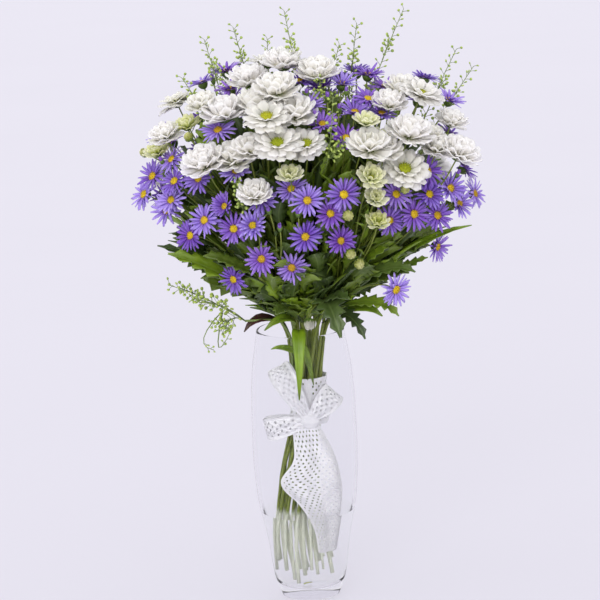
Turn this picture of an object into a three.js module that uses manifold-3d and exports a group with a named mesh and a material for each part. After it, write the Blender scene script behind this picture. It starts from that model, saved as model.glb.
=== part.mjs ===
// Spray chrysanthemums, purple asters and penny-cress in a tall glass jar, tied with a lace ribbon.
// Millimetres, +Z up. The origin is the middle of the jar's flat underside and the front faces -Y.
import * as THREE from "three";
import { mergeVertices } from "three/addons/utils/BufferGeometryUtils.js";
import Module from "manifold-3d";

const wasm = await Module();
wasm.setup();

// Jar: outer radius at each height, up the outside
const JAR_HEIGHT = 300;
const JAR_FLOOR = 14;
const JAR_WALL = 2.6;
const JAR_SIDES = 20;
const JAR_OUTSIDE = [
  [31, 0],
  [36.8, 15],
  [46, 69],
  [53, 104],
  [57, 150],
  [57, 198],
  [54.4, 254],
  [48, 296],
];
const RIM = [
  [47.4, 299.1],
  [46.3, 300],
  [45.2, 299.1],
];
const RIM_FOOT = 296;
const FLOOR_CORNER = 4;
const WATER_LEVEL = 98;

// Gap left between neighbouring pieces, and the smallest piece worth keeping
const GAP = 0.35;
const SCRAP = 150;

// The tied bundle: stems lean round its waist, in three rings, one inside the other
const WAIST_HEIGHT = 203;
const WAIST_ACROSS = 6;
const BUNDLE_LEAN = 0.025;
const BUNDLE_TOP = 285;
const RINGS = [
  { radius: 14.5, lean: 0.14, places: 13, start: -8.8 },
  { radius: 9, lean: 0.1, places: 10, start: -130 },
  { radius: 2.9, lean: 0.03, places: 3, start: 0 },
];
const WHITE_STEM = 2.1;
const PURPLE_STEM = 1.7;
const CRESS_STEM = 1.4;
const STEM_SIDES = 4;
const STEM_BEND = 0.45;
const STEM_TAPER = 0.85;

// The head of the bunch: an egg-shaped dome of blooms over the point where the stems fan out
const DOME_MIDDLE = new THREE.Vector3(16, 0, 463);
const DOME_SIZE = new THREE.Vector3(180, 140, 127);
const FAN_POINT = new THREE.Vector3(WAIST_ACROSS, 0, JAR_HEIGHT);
const EYE = new THREE.Vector3(0, -2739, 913);
const LAYER_ROUNDS = 40;
const LAYER_LIMIT = 20;
const LAYER_STEP = { white: 5.5, purple: 3.5 };
const LAYER_OVERLAP = 0.82;
const LAYER_PUSH = 0.6;
const WHITE_LIFT = 6;
const PURPLE_LIFT = -9;

// Each leafy part of the head carries one white stem and one purple stem, with their places in a ring
const SPRAYS = [
  { name: "right", turn: 5, tilt: 56, reach: 64, length: 66, ring: 0, place: 0 },
  { name: "back", turn: 90, tilt: 54, reach: 64, length: 54, ring: 0, place: 3 },
  { name: "left", turn: 176, tilt: 56, reach: 64, length: 54, ring: 0, place: 6 },
  { name: "front_left", turn: -122, tilt: 50, reach: 64, length: 50, ring: 0, place: 9 },
  { name: "front_right", turn: -52, tilt: 50, reach: 64, length: 50, ring: 0, place: 11 },
  { name: "upper_front_left", turn: -118, tilt: 26, reach: 70, length: 96, ring: 1, place: 0 },
  { name: "upper_front_right", turn: -50, tilt: 26, reach: 70, length: 96, ring: 1, place: 2 },
  { name: "upper_right", turn: 22, tilt: 28, reach: 70, length: 110, ring: 1, place: 4 },
  { name: "upper_left", turn: 162, tilt: 28, reach: 70, length: 110, ring: 1, place: 7 },
  { name: "upper_back", turn: 90, tilt: 20, reach: 70, length: 110, ring: 2, place: 0 },
];

// Penny-cress: the fork of each stem and the tips of its twigs
const CRESS = [
  { name: "left", ring: 1, place: 9, fork: [-52, -8, 462], tips: [[-113, -15, 579], [-88, 5, 616]] },
  {
    name: "back",
    ring: 0,
    place: 5,
    fork: [-24, 62, 470],
    tips: [[-58, 60, 622], [-22, 84, 606], [-80, 92, 580]],
  },
  {
    name: "middle",
    ring: 2,
    place: 2,
    fork: [22, -34, 478],
    tips: [[-2, -31, 646], [54, -30, 609], [32, -78, 578]],
  },
  { name: "right", ring: 1, place: 6, fork: [52, 24, 462], tips: [[74, 6, 626], [125, 26, 637]] },
  { name: "far_right", ring: 0, place: 2, fork: [104, 44, 424], tips: [[198, 30, 572], [182, 58, 588]] },
  {
    name: "low_left",
    ring: 0,
    place: 8,
    fork: [-58, -34, 318],
    tips: [[-135, -62, 366], [-104, -82, 350], [-84, -70, 316]],
  },
];

// Blooms of the front, by where each shows on the plane of the jar's axis: across, up, width
const WHITE_BLOOMS = [
  [-70, 539, 50],
  [-90, 547, 37],
  [-113, 534, 32],
  [-131, 518, 37],
  [-144, 504, 32],
  [-37, 554, 52],
  [-13, 559, 50],
  [3, 539, 50],
  [-25, 523, 48],
  [-14, 499, 50],
  [15, 502, 43],
  [-45, 504, 43],
  [-66, 498, 50],
  [-91, 487, 50],
  [-42, 453, 39],
  [-3, 471, 32],
  [-5, 589, 48],
  [30, 590, 48],
  [-43, 578, 48],
  [75, 518, 30],
  [95, 518, 28],
  [123, 509, 50],
  [80, 495, 48],
  [98, 496, 39],
  [136, 543, 48],
  [123, 561, 45],
  [105, 544, 39],
  [154, 514, 39],
  [170, 522, 37],
  [169, 483, 48],
  [154, 493, 37],
  [118, 471, 52],
  [81, 460, 32],
  [87, 438, 28],
  [89, 417, 28],
];
const PURPLE_BLOOMS = [
  [-92, 571],
  [-66, 582],
  [-63, 563],
  [-77, 518],
  [-62, 476],
  [-124, 488],
  [-150, 473],
  [-126, 467],
  [-160, 454],
  [-132, 448],
  [-101, 468],
  [-142, 436],
  [-94, 423],
  [-76, 437],
  [-68, 412],
  [-113, 407],
  [-46, 415],
  [-35, 443],
  [-3, 453],
  [14, 439],
  [38, 424],
  [53, 444],
  [10, 400],
  [48, 394],
  [-38, 378],
  [-6, 367],
  [-69, 357],
  [11, 566],
  [33, 563],
  [56, 563],
  [83, 570],
  [102, 560],
  [83, 545],
  [69, 534],
  [97, 530],
  [34, 525],
  [58, 505],
  [20, 543],
  [169, 541],
  [144, 566],
  [142, 467],
  [145, 442],
  [166, 446],
  [176, 429],
  [193, 439],
  [131, 420],
  [109, 442],
  [103, 413],
  [153, 417],
  [151, 383],
  [105, 338],
];
const PURPLE_SIZE = 35;

// A bloom's facing: how far it leans away from where the stems fan out, and its sway along X, Y and Z
const FAN_SHARE = 0.35;
const SWAY = [
  [0, -0.2, 0.2],
  [3, -0.16, 0.1],
  [7, -0.1, 0.2],
];

// Cups below the blooms as shares of the bloom's width, and the stalks that carry them
const CUP_RADIUS = 0.1;
const CUP_DEPTH = 0.11;
const CUP_OVERLAP = 1.2;
const STALK_RADII = [0.7, 1];
const BUD_JOINT = 0.2;

// Blooms of the back, spread evenly over the far side of the dome
const BACK_STEPS = 90;
const BACK_TILT = 108;
const BACK_SPACE = 38;
const BACK_WHITE_SIZE = 46;
const BACK_WHITE_EVERY = 6;

// Buds: where each shows in front, and its width
const BUDS = [
  [-158, 499, 10],
  [-110, 514, 10],
  [57, 421, 12],
  [58, 379, 11],
  [67, 368, 12],
  [119, 447, 10],
  [3, 414, 9],
  [-28, 431, 9],
];

// Leaves: the stem each grows from, its height on that stem, the way it bends, its tip and its width
const LEAVES = [
  { spray: "front_left", from: 294, bend: [0, -62, 336], tip: [-4, -65, 236], width: 15, lobes: 0 },
  { spray: "front_left", from: 270, bend: [-14, -30, 290], tip: [-32, -26, 284], width: 9, lobes: 0 },
  { spray: "front_left", from: 306, bend: [-10, -50, 334], tip: [-38, -58, 312], width: 13, lobes: 0 },
  { spray: "left", from: 304, bend: [-44, -30, 330], tip: [-60, -34, 306], width: 12, lobes: 0 },
  { spray: "front_right", from: 312, bend: [34, -52, 330], tip: [38, -92, 374], width: 30, lobes: 1 },
  { spray: "front_right", from: 308, bend: [52, -56, 342], tip: [68, -74, 302], width: 20, lobes: 1 },
  { spray: "right", from: 308, bend: [66, -40, 340], tip: [88, -58, 322], width: 14, lobes: 0 },
  { spray: "front_left", from: 325, bend: [-74, -58, 378], tip: [-134, -72, 402], width: 30, lobes: 1 },
  { spray: "left", from: 325, bend: [-86, -20, 384], tip: [-146, -46, 406], width: 18, lobes: 1 },
  { spray: "right", from: 330, bend: [124, -20, 400], tip: [186, -48, 414], width: 11, lobes: 0 },
  { spray: "right", from: 325, bend: [116, -34, 372], tip: [166, -62, 398], width: 14, lobes: 1 },
  { spray: "front_right", from: 325, bend: [92, -70, 392], tip: [122, -96, 376], width: 20, lobes: 1 },
  { spray: "front_right", from: 318, bend: [84, -58, 352], tip: [104, -78, 326], width: 18, lobes: 1 },
  { spray: "front_left", from: 318, bend: [-8, -70, 366], tip: [8, -118, 384], width: 28, lobes: 1 },
  { spray: "front_right", from: 320, bend: [30, -70, 352], tip: [52, -112, 354], width: 26, lobes: 1 },
  { spray: "front_left", from: 312, bend: [-16, -66, 342], tip: [-24, -108, 340], width: 26, lobes: 1 },
  { spray: "front_right", from: 326, bend: [50, -80, 376], tip: [66, -118, 390], width: 26, lobes: 1 },
];
const LOW_LEAVES = 4;
const HIGH_LEAVES = 1;
const INNER_LEAF_LENGTH = 52;
const INNER_LEAF_WIDTH = 30;
const INNER_LEAF_JOINTS = [0.08, 0.22];
const INNER_LEAF_BEND = [34, 14];
const INNER_LEAF_RISE = 40;
const LEAF_THICKNESS = 1.5;
const PETIOLE = 0.9;

// Ribbon: cloth thickness, wrap round the stems, and the tail as level rows that hang round them
const RIBBON_THICKNESS = 1.6;
const WRAP_SIDES = 12;
const WRAP_RADIUS = 19.6;
const WRAP_LOW = 196;
const WRAP_HIGH = 248;
const KNOT = new THREE.Vector3(WAIST_ACROSS, -24, WAIST_HEIGHT);
const KNOT_SIZE = new THREE.Vector3(11, 6, 10);
const TAIL_ROWS = [
  { height: 200, turns: [-122, -52], radius: 25, wave: 1.2 },
  { height: 163, turns: [-112, -24], radius: 36, wave: 2.4 },
  { height: 136, turns: [-134, -22], radius: 43, wave: 3 },
  { height: 114, turns: [-104, -22], radius: 43, wave: 2.4 },
  { height: 86, turns: [-82, -27], radius: 39, wave: 1.6 },
  { height: 56, turns: [-74, -34], radius: 35, wave: 1 },
];
const TAIL_COLUMNS = 5;

// Bows: the end of each loop and its width, and the way round a loop as shares of its reach and depths
const BOWS = [
  { end: [-26, -25, 264], width: 27 },
  { end: [-42, -17, 193], width: 25 },
  { end: [34, -19, 233], width: 28 },
];
const LOOP = [
  { reach: 0.06, depth: -2, width: 0.3 },
  { reach: 0.45, depth: -7, width: 0.8 },
  { reach: 0.85, depth: -7, width: 1 },
  { reach: 1, depth: 0, width: 0.85 },
  { reach: 0.85, depth: 6, width: 1 },
  { reach: 0.45, depth: 5, width: 0.8 },
  { reach: 0.08, depth: 2, width: 0.3 },
];

const DEGREE = Math.PI / 180;
const GOLDEN = 0.618034;
const UP = new THREE.Vector3(0, 0, 1);
const Z_UP = new THREE.Matrix3(0, 0, 1, 1, 0, 0, 0, 1, 0);

const spread = (index, low, high) => low + (high - low) * ((index * GOLDEN) % 1);
const vector = (place) => new THREE.Vector3(...place);
const mix = (from, to, share) => from.clone().lerp(to, share);

function directionOf(turn, tilt) {
  return new THREE.Vector3().setFromSphericalCoords(1, tilt * DEGREE, turn * DEGREE).applyMatrix3(Z_UP);
}

// ---- Closed skins

function manifoldOf(points, faces) {
  const vertProperties = new Float32Array(points.flatMap((point) => [point.x, point.y, point.z]));
  const triVerts = new Uint32Array(faces.flat());
  return new wasm.Manifold(new wasm.Mesh({ numProp: 3, vertProperties, triVerts }));
}

function manifoldOfGeometry(geometry) {
  geometry.deleteAttribute("uv");
  geometry.deleteAttribute("normal");
  const merged = mergeVertices(geometry, 1e-3);
  const vertProperties = new Float32Array(merged.attributes.position.array);
  const triVerts = new Uint32Array(merged.index.array);
  return new wasm.Manifold(new wasm.Mesh({ numProp: 3, vertProperties, triVerts }));
}

// Joins loops of points, lowest first, each going round anticlockwise seen from the last one
function skin(loops) {
  const points = loops.flat();
  const faces = [];
  let first = 0;
  for (let level = 0; level + 1 < loops.length; level += 1) {
    const below = loops[level].length;
    const above = loops[level + 1].length;
    const second = first + below;
    let i = 0;
    let j = 0;
    const lowSteps = below === 1 ? 0 : below;
    const highSteps = above === 1 ? 0 : above;
    while (i < lowSteps || j < highSteps) {
      const takeLow = j >= highSteps || (i < lowSteps && (i + 1) / below <= (j + 1) / above);
      const low = first + (i % below);
      const high = second + (j % above);
      if (takeLow) {
        faces.push([low, first + ((i + 1) % below), high]);
        i += 1;
      } else {
        faces.push([low, second + ((j + 1) % above), high]);
        j += 1;
      }
    }
    first = second;
  }
  const last = loops[loops.length - 1].length;
  for (let k = 1; k + 1 < loops[0].length; k += 1) {
    faces.push([0, k + 1, k]);
  }
  for (let k = 1; k + 1 < last; k += 1) {
    faces.push([first, first + k, first + k + 1]);
  }
  return manifoldOf(points, faces);
}

function acrossOf(direction) {
  const other = Math.abs(direction.z) < 0.9 ? UP : new THREE.Vector3(1, 0, 0);
  return other.clone().cross(direction).normalize();
}

function tube(path, radii, sides) {
  let side = acrossOf(path[1].clone().sub(path[0]).normalize());
  const loops = path.map((point, index) => {
    const before = path[Math.max(index - 1, 0)];
    const after = path[Math.min(index + 1, path.length - 1)];
    const along = after.clone().sub(before).normalize();
    side = side.sub(along.clone().multiplyScalar(side.dot(along))).normalize();
    const other = along.clone().cross(side);
    return Array.from({ length: sides }, (_, k) => {
      const angle = (k / sides) * 2 * Math.PI;
      const outward = side.clone().multiplyScalar(Math.cos(angle)).addScaledVector(other, Math.sin(angle));
      return point.clone().addScaledVector(outward, radii[index]);
    });
  });
  return skin(loops);
}

function curve(from, bend, to, steps) {
  const route = new THREE.QuadraticBezierCurve3(from, bend, to);
  return route.getPoints(steps);
}

const joined = (solids) => wasm.Manifold.union(solids);

function largest(solid) {
  const bodies = solid.decompose();
  return bodies.reduce((best, body) => (body.volume() > best.volume() ? body : best));
}

// ---- Jar and water

function turned(profile, sides) {
  const points = profile.map(([radius, height]) => new THREE.Vector2(radius, height));
  const geometry = new THREE.LatheGeometry(points, sides);
  geometry.rotateX(90 * DEGREE);
  return manifoldOfGeometry(geometry);
}

function jarRadius(height) {
  const above = JAR_OUTSIDE.findIndex(([, level]) => level >= height);
  const [highRadius, high] = JAR_OUTSIDE[above];
  const [lowRadius, low] = JAR_OUTSIDE[above - 1];
  return lowRadius + ((highRadius - lowRadius) * (height - low)) / (high - low);
}

function insideProfile(gap, top) {
  const low = JAR_FLOOR + FLOOR_CORNER;
  const high = top - FLOOR_CORNER;
  const levels = JAR_OUTSIDE.map(([, level]) => level).filter((level) => level > low && level < high);
  const walls = [...levels, top].map((level) => [jarRadius(level) - JAR_WALL - gap, level]);
  const corner = jarRadius(JAR_FLOOR) - JAR_WALL - gap;
  const floor = JAR_FLOOR + gap;
  return [[0, floor], [corner - FLOOR_CORNER, floor], [corner, floor + FLOOR_CORNER], ...walls];
}

function jar() {
  const inside = insideProfile(0, RIM_FOOT).reverse();
  return turned([[0, 0], ...JAR_OUTSIDE, ...RIM, ...inside], JAR_SIDES);
}

function water(holes) {
  const body = turned([...insideProfile(GAP, WATER_LEVEL), [0, WATER_LEVEL]], JAR_SIDES);
  return largest(body.subtract(holes));
}

// ---- Stems

function ringPoint(stem, height) {
  const ring = RINGS[stem.ring];
  const rise = height - WAIST_HEIGHT;
  const topTurn = ring.start + (stem.place * 360) / ring.places;
  const turn = topTurn * DEGREE - Math.atan(((BUNDLE_TOP - WAIST_HEIGHT) * ring.lean) / ring.radius);
  const aside = rise * ring.lean;
  const middle = WAIST_ACROSS + Math.min(rise, 0) * BUNDLE_LEAN;
  return new THREE.Vector3(
    middle + ring.radius * Math.cos(turn) - aside * Math.sin(turn),
    ring.radius * Math.sin(turn) + aside * Math.cos(turn),
    height,
  );
}

function stemPath(stem) {
  const foot = ringPoint(stem, stem.foot);
  const top = ringPoint(stem, BUNDLE_TOP);
  const heading = top.clone().sub(ringPoint(stem, WAIST_HEIGHT)).normalize();
  const bend = top.clone().addScaledVector(heading, stem.goal.distanceTo(top) * STEM_BEND);
  return [foot, ...curve(top, bend, stem.goal, 3), stem.end];
}

function stemSolid(stem, grow) {
  const path = stemPath(stem);
  const radii = path.map((point) => stem.radius * (point.z > BUNDLE_TOP ? STEM_TAPER : 1) + grow);
  return tube(path, radii, STEM_SIDES);
}

// ---- Blooms

function domePoint(across, up, lift) {
  const size = DOME_SIZE.clone().addScalar(lift);
  const start = EYE.clone().sub(DOME_MIDDLE).divide(size);
  const ray = new THREE.Vector3(across, 0, up).sub(EYE).divide(size);
  const a = ray.lengthSq();
  const b = start.dot(ray);
  const c = start.lengthSq() - 1;
  const reach = (-b - Math.sqrt(Math.max(b * b - a * c, 0))) / a;
  return start.addScaledVector(ray, reach).multiply(size).add(DOME_MIDDLE);
}

function facingAt(point, index) {
  const outward = point.clone().sub(DOME_MIDDLE).divide(DOME_SIZE).divide(DOME_SIZE).normalize();
  const fromFan = point.clone().sub(FAN_POINT).normalize();
  const sway = vector(SWAY.map(([step, low, high]) => spread(index + step, low, high)));
  return outward.addScaledVector(fromFan, FAN_SHARE).add(sway).normalize();
}

function bloomAt(point, size, kind, index) {
  return { place: point, size, kind, facing: facingAt(point, index), roll: spread(index, 0, 60), index };
}

function frontBlooms() {
  const whites = WHITE_BLOOMS.map(([across, up, size], index) =>
    bloomAt(domePoint(across, up, WHITE_LIFT + spread(index, -3, 3)), size, "white", index),
  );
  const purples = PURPLE_BLOOMS.map(([across, up], index) => {
    const place = domePoint(across, up, PURPLE_LIFT + spread(index, -3, 3));
    return bloomAt(place, PURPLE_SIZE + spread(index, -2, 2), "purple", index);
  });
  return [...whites, ...purples];
}

function backBlooms(front) {
  const blooms = [...front];
  for (let step = 0; step < BACK_STEPS; step += 1) {
    const turn = spread(step, 0, 360);
    const tilt = Math.acos(1 - ((step + 0.5) / BACK_STEPS) * (1 - Math.cos(BACK_TILT * DEGREE)));
    const kind = step % BACK_WHITE_EVERY === 1 ? "white" : "purple";
    const lift = kind === "white" ? WHITE_LIFT : PURPLE_LIFT;
    const outward = directionOf(turn, tilt / DEGREE);
    const place = outward.multiply(DOME_SIZE.clone().addScalar(lift)).add(DOME_MIDDLE);
    const clear = blooms.every((bloom) => bloom.place.distanceTo(place) > BACK_SPACE);
    if (place.y > 0 && clear) {
      blooms.push(bloomAt(place, kind === "white" ? BACK_WHITE_SIZE : PURPLE_SIZE, kind, step));
    }
  }
  return blooms.slice(front.length);
}

// Moves blooms out or in until those that overlap face-on lie one above the other
function layered(blooms) {
  const places = blooms.map((bloom) => bloom.place.clone());
  for (let round = 0; round < LAYER_ROUNDS; round += 1) {
    for (let i = 0; i < blooms.length; i += 1) {
      for (let j = 0; j < i; j += 1) {
        const facing = blooms[i].facing.clone().add(blooms[j].facing).normalize();
        const gap = places[i].clone().sub(places[j]);
        const rise = gap.dot(facing);
        const aside = Math.sqrt(Math.max(gap.lengthSq() - rise * rise, 0));
        const need = LAYER_STEP[blooms[i].kind] + LAYER_STEP[blooms[j].kind];
        const reach = ((blooms[i].size + blooms[j].size) / 2) * LAYER_OVERLAP;
        if (aside < reach && Math.abs(rise) < need) {
          const push = ((need - Math.abs(rise)) / 2) * LAYER_PUSH * (rise < 0 ? -1 : 1);
          places[i].addScaledVector(facing, push);
          places[j].addScaledVector(facing, -push);
        }
      }
    }
    blooms.forEach((bloom, index) => {
      const shift = places[index].clone().sub(bloom.place).clampLength(0, LAYER_LIMIT);
      places[index].copy(bloom.place).add(shift);
    });
  }
  return blooms.map((bloom, index) => ({ ...bloom, place: places[index] }));
}

// Loops of a bloom by layer: the number of petals, and [radius, height] of tips and notches as shares
const FORMS = {
  white: {
    keel: -0.16,
    layers: [
      { petals: 10, tip: [1, 0.06], notch: [0.66, 0.03] },
      { ring: 3, tip: [0.2, 0.09] },
      { petals: 6, tip: [0.7, 0.3], notch: [0.46, 0.2] },
      { ring: 3, tip: [0.22, 0.21] },
    ],
    crown: 0.3,
  },
  purple: {
    keel: -0.15,
    layers: [{ petals: 8, tip: [1, 0.05], notch: [0.56, 0.02] }],
    crown: 0.18,
  },
};

function bloomLoops(bloom, grow) {
  const form = FORMS[bloom.kind];
  const radius = bloom.size / 2;
  const side = acrossOf(bloom.facing);
  const other = bloom.facing.clone().cross(side);
  const cup = bloom.size < 34 && bloom.kind === "white" ? 0.32 : spread(bloom.index, -0.04, 0.14);
  const place = (share, rise, turn, outward, upward) => {
    const reach = share * radius + outward;
    const angle = (turn + bloom.roll) * DEGREE;
    return bloom.place
      .clone()
      .addScaledVector(side, reach * Math.cos(angle))
      .addScaledVector(other, reach * Math.sin(angle))
      .addScaledVector(bloom.facing, (rise + cup * share * share) * radius + upward);
  };
  const loops = form.layers.map((layer) => {
    if (layer.ring) {
      const step = 360 / layer.ring;
      return Array.from({ length: layer.ring }, (_, k) => place(...layer.tip, k * step, grow, grow * 2));
    }
    const step = 180 / layer.petals;
    return Array.from({ length: layer.petals * 2 }, (_, k) =>
      place(...(k % 2 ? layer.notch : layer.tip), k * step, grow * 1.5, 0),
    );
  });
  return [[place(0, form.keel, 0, 0, -grow * 2)], ...loops, [place(0, form.crown, 0, 0, grow * 2)]];
}

const bloomSolid = (bloom, grow) => skin(bloomLoops(bloom, grow));

// ---- Sprays: stems, stalks and leaves that hold together

function sprayOf(place, sprays) {
  const heading = place.clone().sub(FAN_POINT).normalize();
  return sprays.reduce((best, spray) => (spray.axis.dot(heading) > best.axis.dot(heading) ? spray : best));
}

function stalkLoops(spray, bloom, grow, overlap) {
  const depth = (bloom.size / 2) * -FORMS[bloom.kind].keel + GAP - overlap;
  const cupTop = bloom.place.clone().addScaledVector(bloom.facing, -depth - grow);
  const cupFoot = bloom.place.clone().addScaledVector(bloom.facing, -depth - bloom.size * CUP_DEPTH);
  const start = mix(...spray.joints, bloom.joint);
  const radii = [...STALK_RADII, bloom.size * CUP_RADIUS];
  const along = [cupFoot.clone().sub(start).normalize(), bloom.facing, bloom.facing];
  return [start, cupFoot, cupTop].map((point, index) => {
    const side = acrossOf(bloom.facing);
    side.addScaledVector(along[index], -side.dot(along[index])).normalize();
    const other = along[index].clone().cross(side);
    return [0, 120, 240].map((turn) => {
      const angle = (turn + bloom.roll) * DEGREE;
      const outward = side.clone().multiplyScalar(Math.cos(angle)).addScaledVector(other, Math.sin(angle));
      return point.clone().addScaledVector(outward, radii[index] + grow);
    });
  });
}

const stalkSolid = (spray, bloom, grow, overlap = 0) => skin(stalkLoops(spray, bloom, grow, overlap));

// A purple bloom and its stalk as one skin, or as two solids where something cuts the bloom
function purpleSolid(spray, bloom, holes) {
  const head = bloomSolid(bloom, 0);
  if (head.intersect(holes).volume() === 0) {
    return skin([...stalkLoops(spray, bloom, 0, 0), ...bloomLoops(bloom, 0).slice(1)]);
  }
  return joined([stalkSolid(spray, bloom, 0, GAP + CUP_OVERLAP), head.subtract(holes)]);
}

function budSolid(spray, bud, grow) {
  const start = mix(...spray.joints, BUD_JOINT);
  const foot = bud.place.clone().addScaledVector(bud.facing, -bud.size * 0.6);
  const belly = bud.place.clone();
  const tip = bud.place.clone().addScaledVector(bud.facing, bud.size * 0.5);
  return tube([start, foot, belly, tip], [0.9 + grow, 1 + grow, bud.size / 2 + grow, 0.7 + grow], 4);
}

const LOBED = [0.1, 0.75, 0.4, 1, 0.45, 0.7];
const PLAIN = [0.15, 0.85, 1, 0.7];

function leafSolid(leaf, grow) {
  const widths = leaf.lobes ? LOBED : PLAIN;
  const path = curve(leaf.start, leaf.bend, leaf.tip, widths.length + 1);
  const rows = path.slice(0, -1).map((point, index) => {
    const along = path[index + 1].clone().sub(point).normalize();
    const outward = point.clone().sub(FAN_POINT).setZ(0).normalize();
    const flat = UP.clone().cross(outward);
    const side = flat.sub(along.clone().multiplyScalar(flat.dot(along)));
    const across = side.length() > 0.35 ? side.normalize() : along.clone().cross(outward).normalize();
    const normal = along.clone().cross(across);
    const half = index ? (leaf.width / 2) * widths[index - 1] + grow * 2 : PETIOLE + grow;
    const above = (index ? LEAF_THICKNESS / 2 : PETIOLE) + grow;
    const under = (index ? LEAF_THICKNESS / 4 : PETIOLE / 2) + grow;
    const edges = grow ? [-under, grow] : [-under];
    const corner = (aside, rise) =>
      point.clone().addScaledVector(across, aside).addScaledVector(normal, rise);
    return [
      ...edges.map((rise) => corner(half, rise)),
      corner(0, above),
      ...edges.map((rise) => corner(-half, rise)).reverse(),
    ];
  });
  const last = path[path.length - 1];
  const past = last.clone().sub(leaf.bend).setLength(grow * 4);
  return skin([...rows, [last.clone().add(past)]]);
}

function handLeaves(spray) {
  return LEAVES.filter((leaf) => leaf.spray === spray.name).map((leaf, index) => {
    const path = new THREE.CatmullRomCurve3(stemPath(spray.stems[index % 2])).getPoints(300);
    const start = path.find((point) => point.z > leaf.from);
    return { ...leaf, start, bend: vector(leaf.bend), tip: vector(leaf.tip) };
  });
}

function innerLeaves(spray, number) {
  const side = acrossOf(spray.axis);
  const other = spray.axis.clone().cross(side);
  const count = spray.ring ? HIGH_LEAVES : LOW_LEAVES;
  return Array.from({ length: count }, (_, index) => {
    const turn = (index / count + spread(number, 0, 1)) * 2 * Math.PI;
    const sideways = side.clone().multiplyScalar(Math.cos(turn)).addScaledVector(other, Math.sin(turn));
    const start = mix(...spray.joints, INNER_LEAF_JOINTS[0] + INNER_LEAF_JOINTS[1] * index);
    const place = (rise, aside) =>
      start.clone().addScaledVector(spray.axis, rise).addScaledVector(sideways, aside);
    const bend = place(...INNER_LEAF_BEND);
    const tip = place(INNER_LEAF_RISE, INNER_LEAF_LENGTH);
    return { start, bend, tip, width: INNER_LEAF_WIDTH, lobes: 1 };
  });
}

function planSprays(blooms, buds) {
  const sprays = SPRAYS.map((spray, number) => {
    const axis = directionOf(spray.turn, spray.tilt);
    return { ...spray, number, axis, blooms: [], buds: [] };
  });
  for (const bloom of blooms) {
    sprayOf(bloom.place, sprays).blooms.push(bloom);
  }
  for (const bud of buds) {
    sprayOf(bud.place, sprays).buds.push(bud);
  }
  for (const spray of sprays) {
    const goal = FAN_POINT.clone().addScaledVector(spray.axis, spray.reach);
    const end = goal.clone().addScaledVector(spray.axis, spray.length);
    spray.blooms.sort((one, other) => one.place.dot(spray.axis) - other.place.dot(spray.axis));
    spray.blooms.forEach((bloom, rank) => {
      bloom.joint = (rank + 0.5) / spray.blooms.length;
    });
    spray.joints = [goal, end];
    spray.stems = [WHITE_STEM, PURPLE_STEM].map((radius, index) => ({
      ring: spray.ring,
      place: spray.place + index,
      radius,
      foot: spread(spray.number * 2 + index, 21, 44),
      goal,
      end: index ? mix(goal, end, 0.04) : end,
    }));
    spray.leaves = [...handLeaves(spray), ...innerLeaves(spray, spray.number)];
  }
  return sprays;
}

const ofKind = (spray, kind) => spray.blooms.filter((bloom) => bloom.kind === kind);

function sprayWood(spray, grow, kinds) {
  const stems = spray.stems.map((stem) => stemSolid(stem, grow));
  const stalks = kinds.flatMap((kind) => ofKind(spray, kind)).map((bloom) => stalkSolid(spray, bloom, grow));
  const buds = spray.buds.map((bud) => budSolid(spray, bud, grow));
  return joined([...stems, ...stalks, ...buds]);
}

// ---- Penny-cress

const CRESS_TURN = 0.45;
const CRESS_CLEAR = 14;
const TWIG_BOW = [8, 4];
const TWIG_RADII = [1.2, 1.1, 1, 0.8];
const PODS_PER_TWIG = 3;
const POD = 9;
const POD_STALK = 5;
const POD_TURN = 137.5;
const FIRST_POD = 0.5;
const LAST_POD = 0.98;

function podSolid(pod, grow) {
  const along = pod.tip.clone().sub(pod.start).normalize();
  const across = acrossOf(along);
  const normal = along.clone().cross(across);
  const loop = (share, wide, thick) =>
    [0, 1, 2, 3].map((k) => {
      const centre = mix(pod.start, pod.tip, share);
      const angle = (k * Math.PI) / 2;
      return centre
        .addScaledVector(across, Math.cos(angle) * (wide + grow))
        .addScaledVector(normal, Math.sin(angle) * (thick + grow));
    });
  const end = pod.tip.clone().addScaledVector(along, grow);
  return skin([loop(0, 0.3, 0.3).slice(0, 3), loop(0.68, POD / 2, 0.8), [end]]);
}

function planCress(cress, number) {
  const fork = vector(cress.fork);
  const turn = mix(FAN_POINT, fork, CRESS_TURN);
  const stem = {
    ring: cress.ring,
    place: cress.place,
    radius: CRESS_STEM,
    foot: spread(number, 22, 48),
    goal: turn.setZ(Math.max(turn.z, JAR_HEIGHT + CRESS_CLEAR)),
    end: fork,
  };
  const twigs = cress.tips.map((place, index) => {
    const tip = vector(place);
    const bend = mix(fork, tip, 0.5).addScaledVector(UP, TWIG_BOW[0] + TWIG_BOW[1] * index);
    return curve(fork, bend, tip, 3);
  });
  const pods = twigs.flatMap((twig, twigIndex) =>
    Array.from({ length: PODS_PER_TWIG }, (_, index) => {
      const share = FIRST_POD + ((LAST_POD - FIRST_POD) * index) / (PODS_PER_TWIG - 1);
      const place = new THREE.CatmullRomCurve3(twig).getPoint(share);
      const outward = directionOf(index * POD_TURN + twigIndex * 50, 53);
      const length = index === PODS_PER_TWIG - 1 ? POD : POD + POD_STALK;
      return { start: place, tip: place.clone().addScaledVector(outward, length) };
    }),
  );
  return { ...cress, stem, twigs, pods };
}

function cressWood(cress, grow) {
  const twigs = cress.twigs.map((twig) => tube(twig, TWIG_RADII.map((radius) => radius + grow), 3));
  return joined([stemSolid(cress.stem, grow), ...twigs]);
}

const cressPods = (cress, grow) => joined(cress.pods.map((pod) => podSolid(pod, grow)));

// ---- Ribbon

function onAxis(turn, radius, height) {
  return new THREE.Vector3(radius * Math.cos(turn * DEGREE), radius * Math.sin(turn * DEGREE), height);
}

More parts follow.
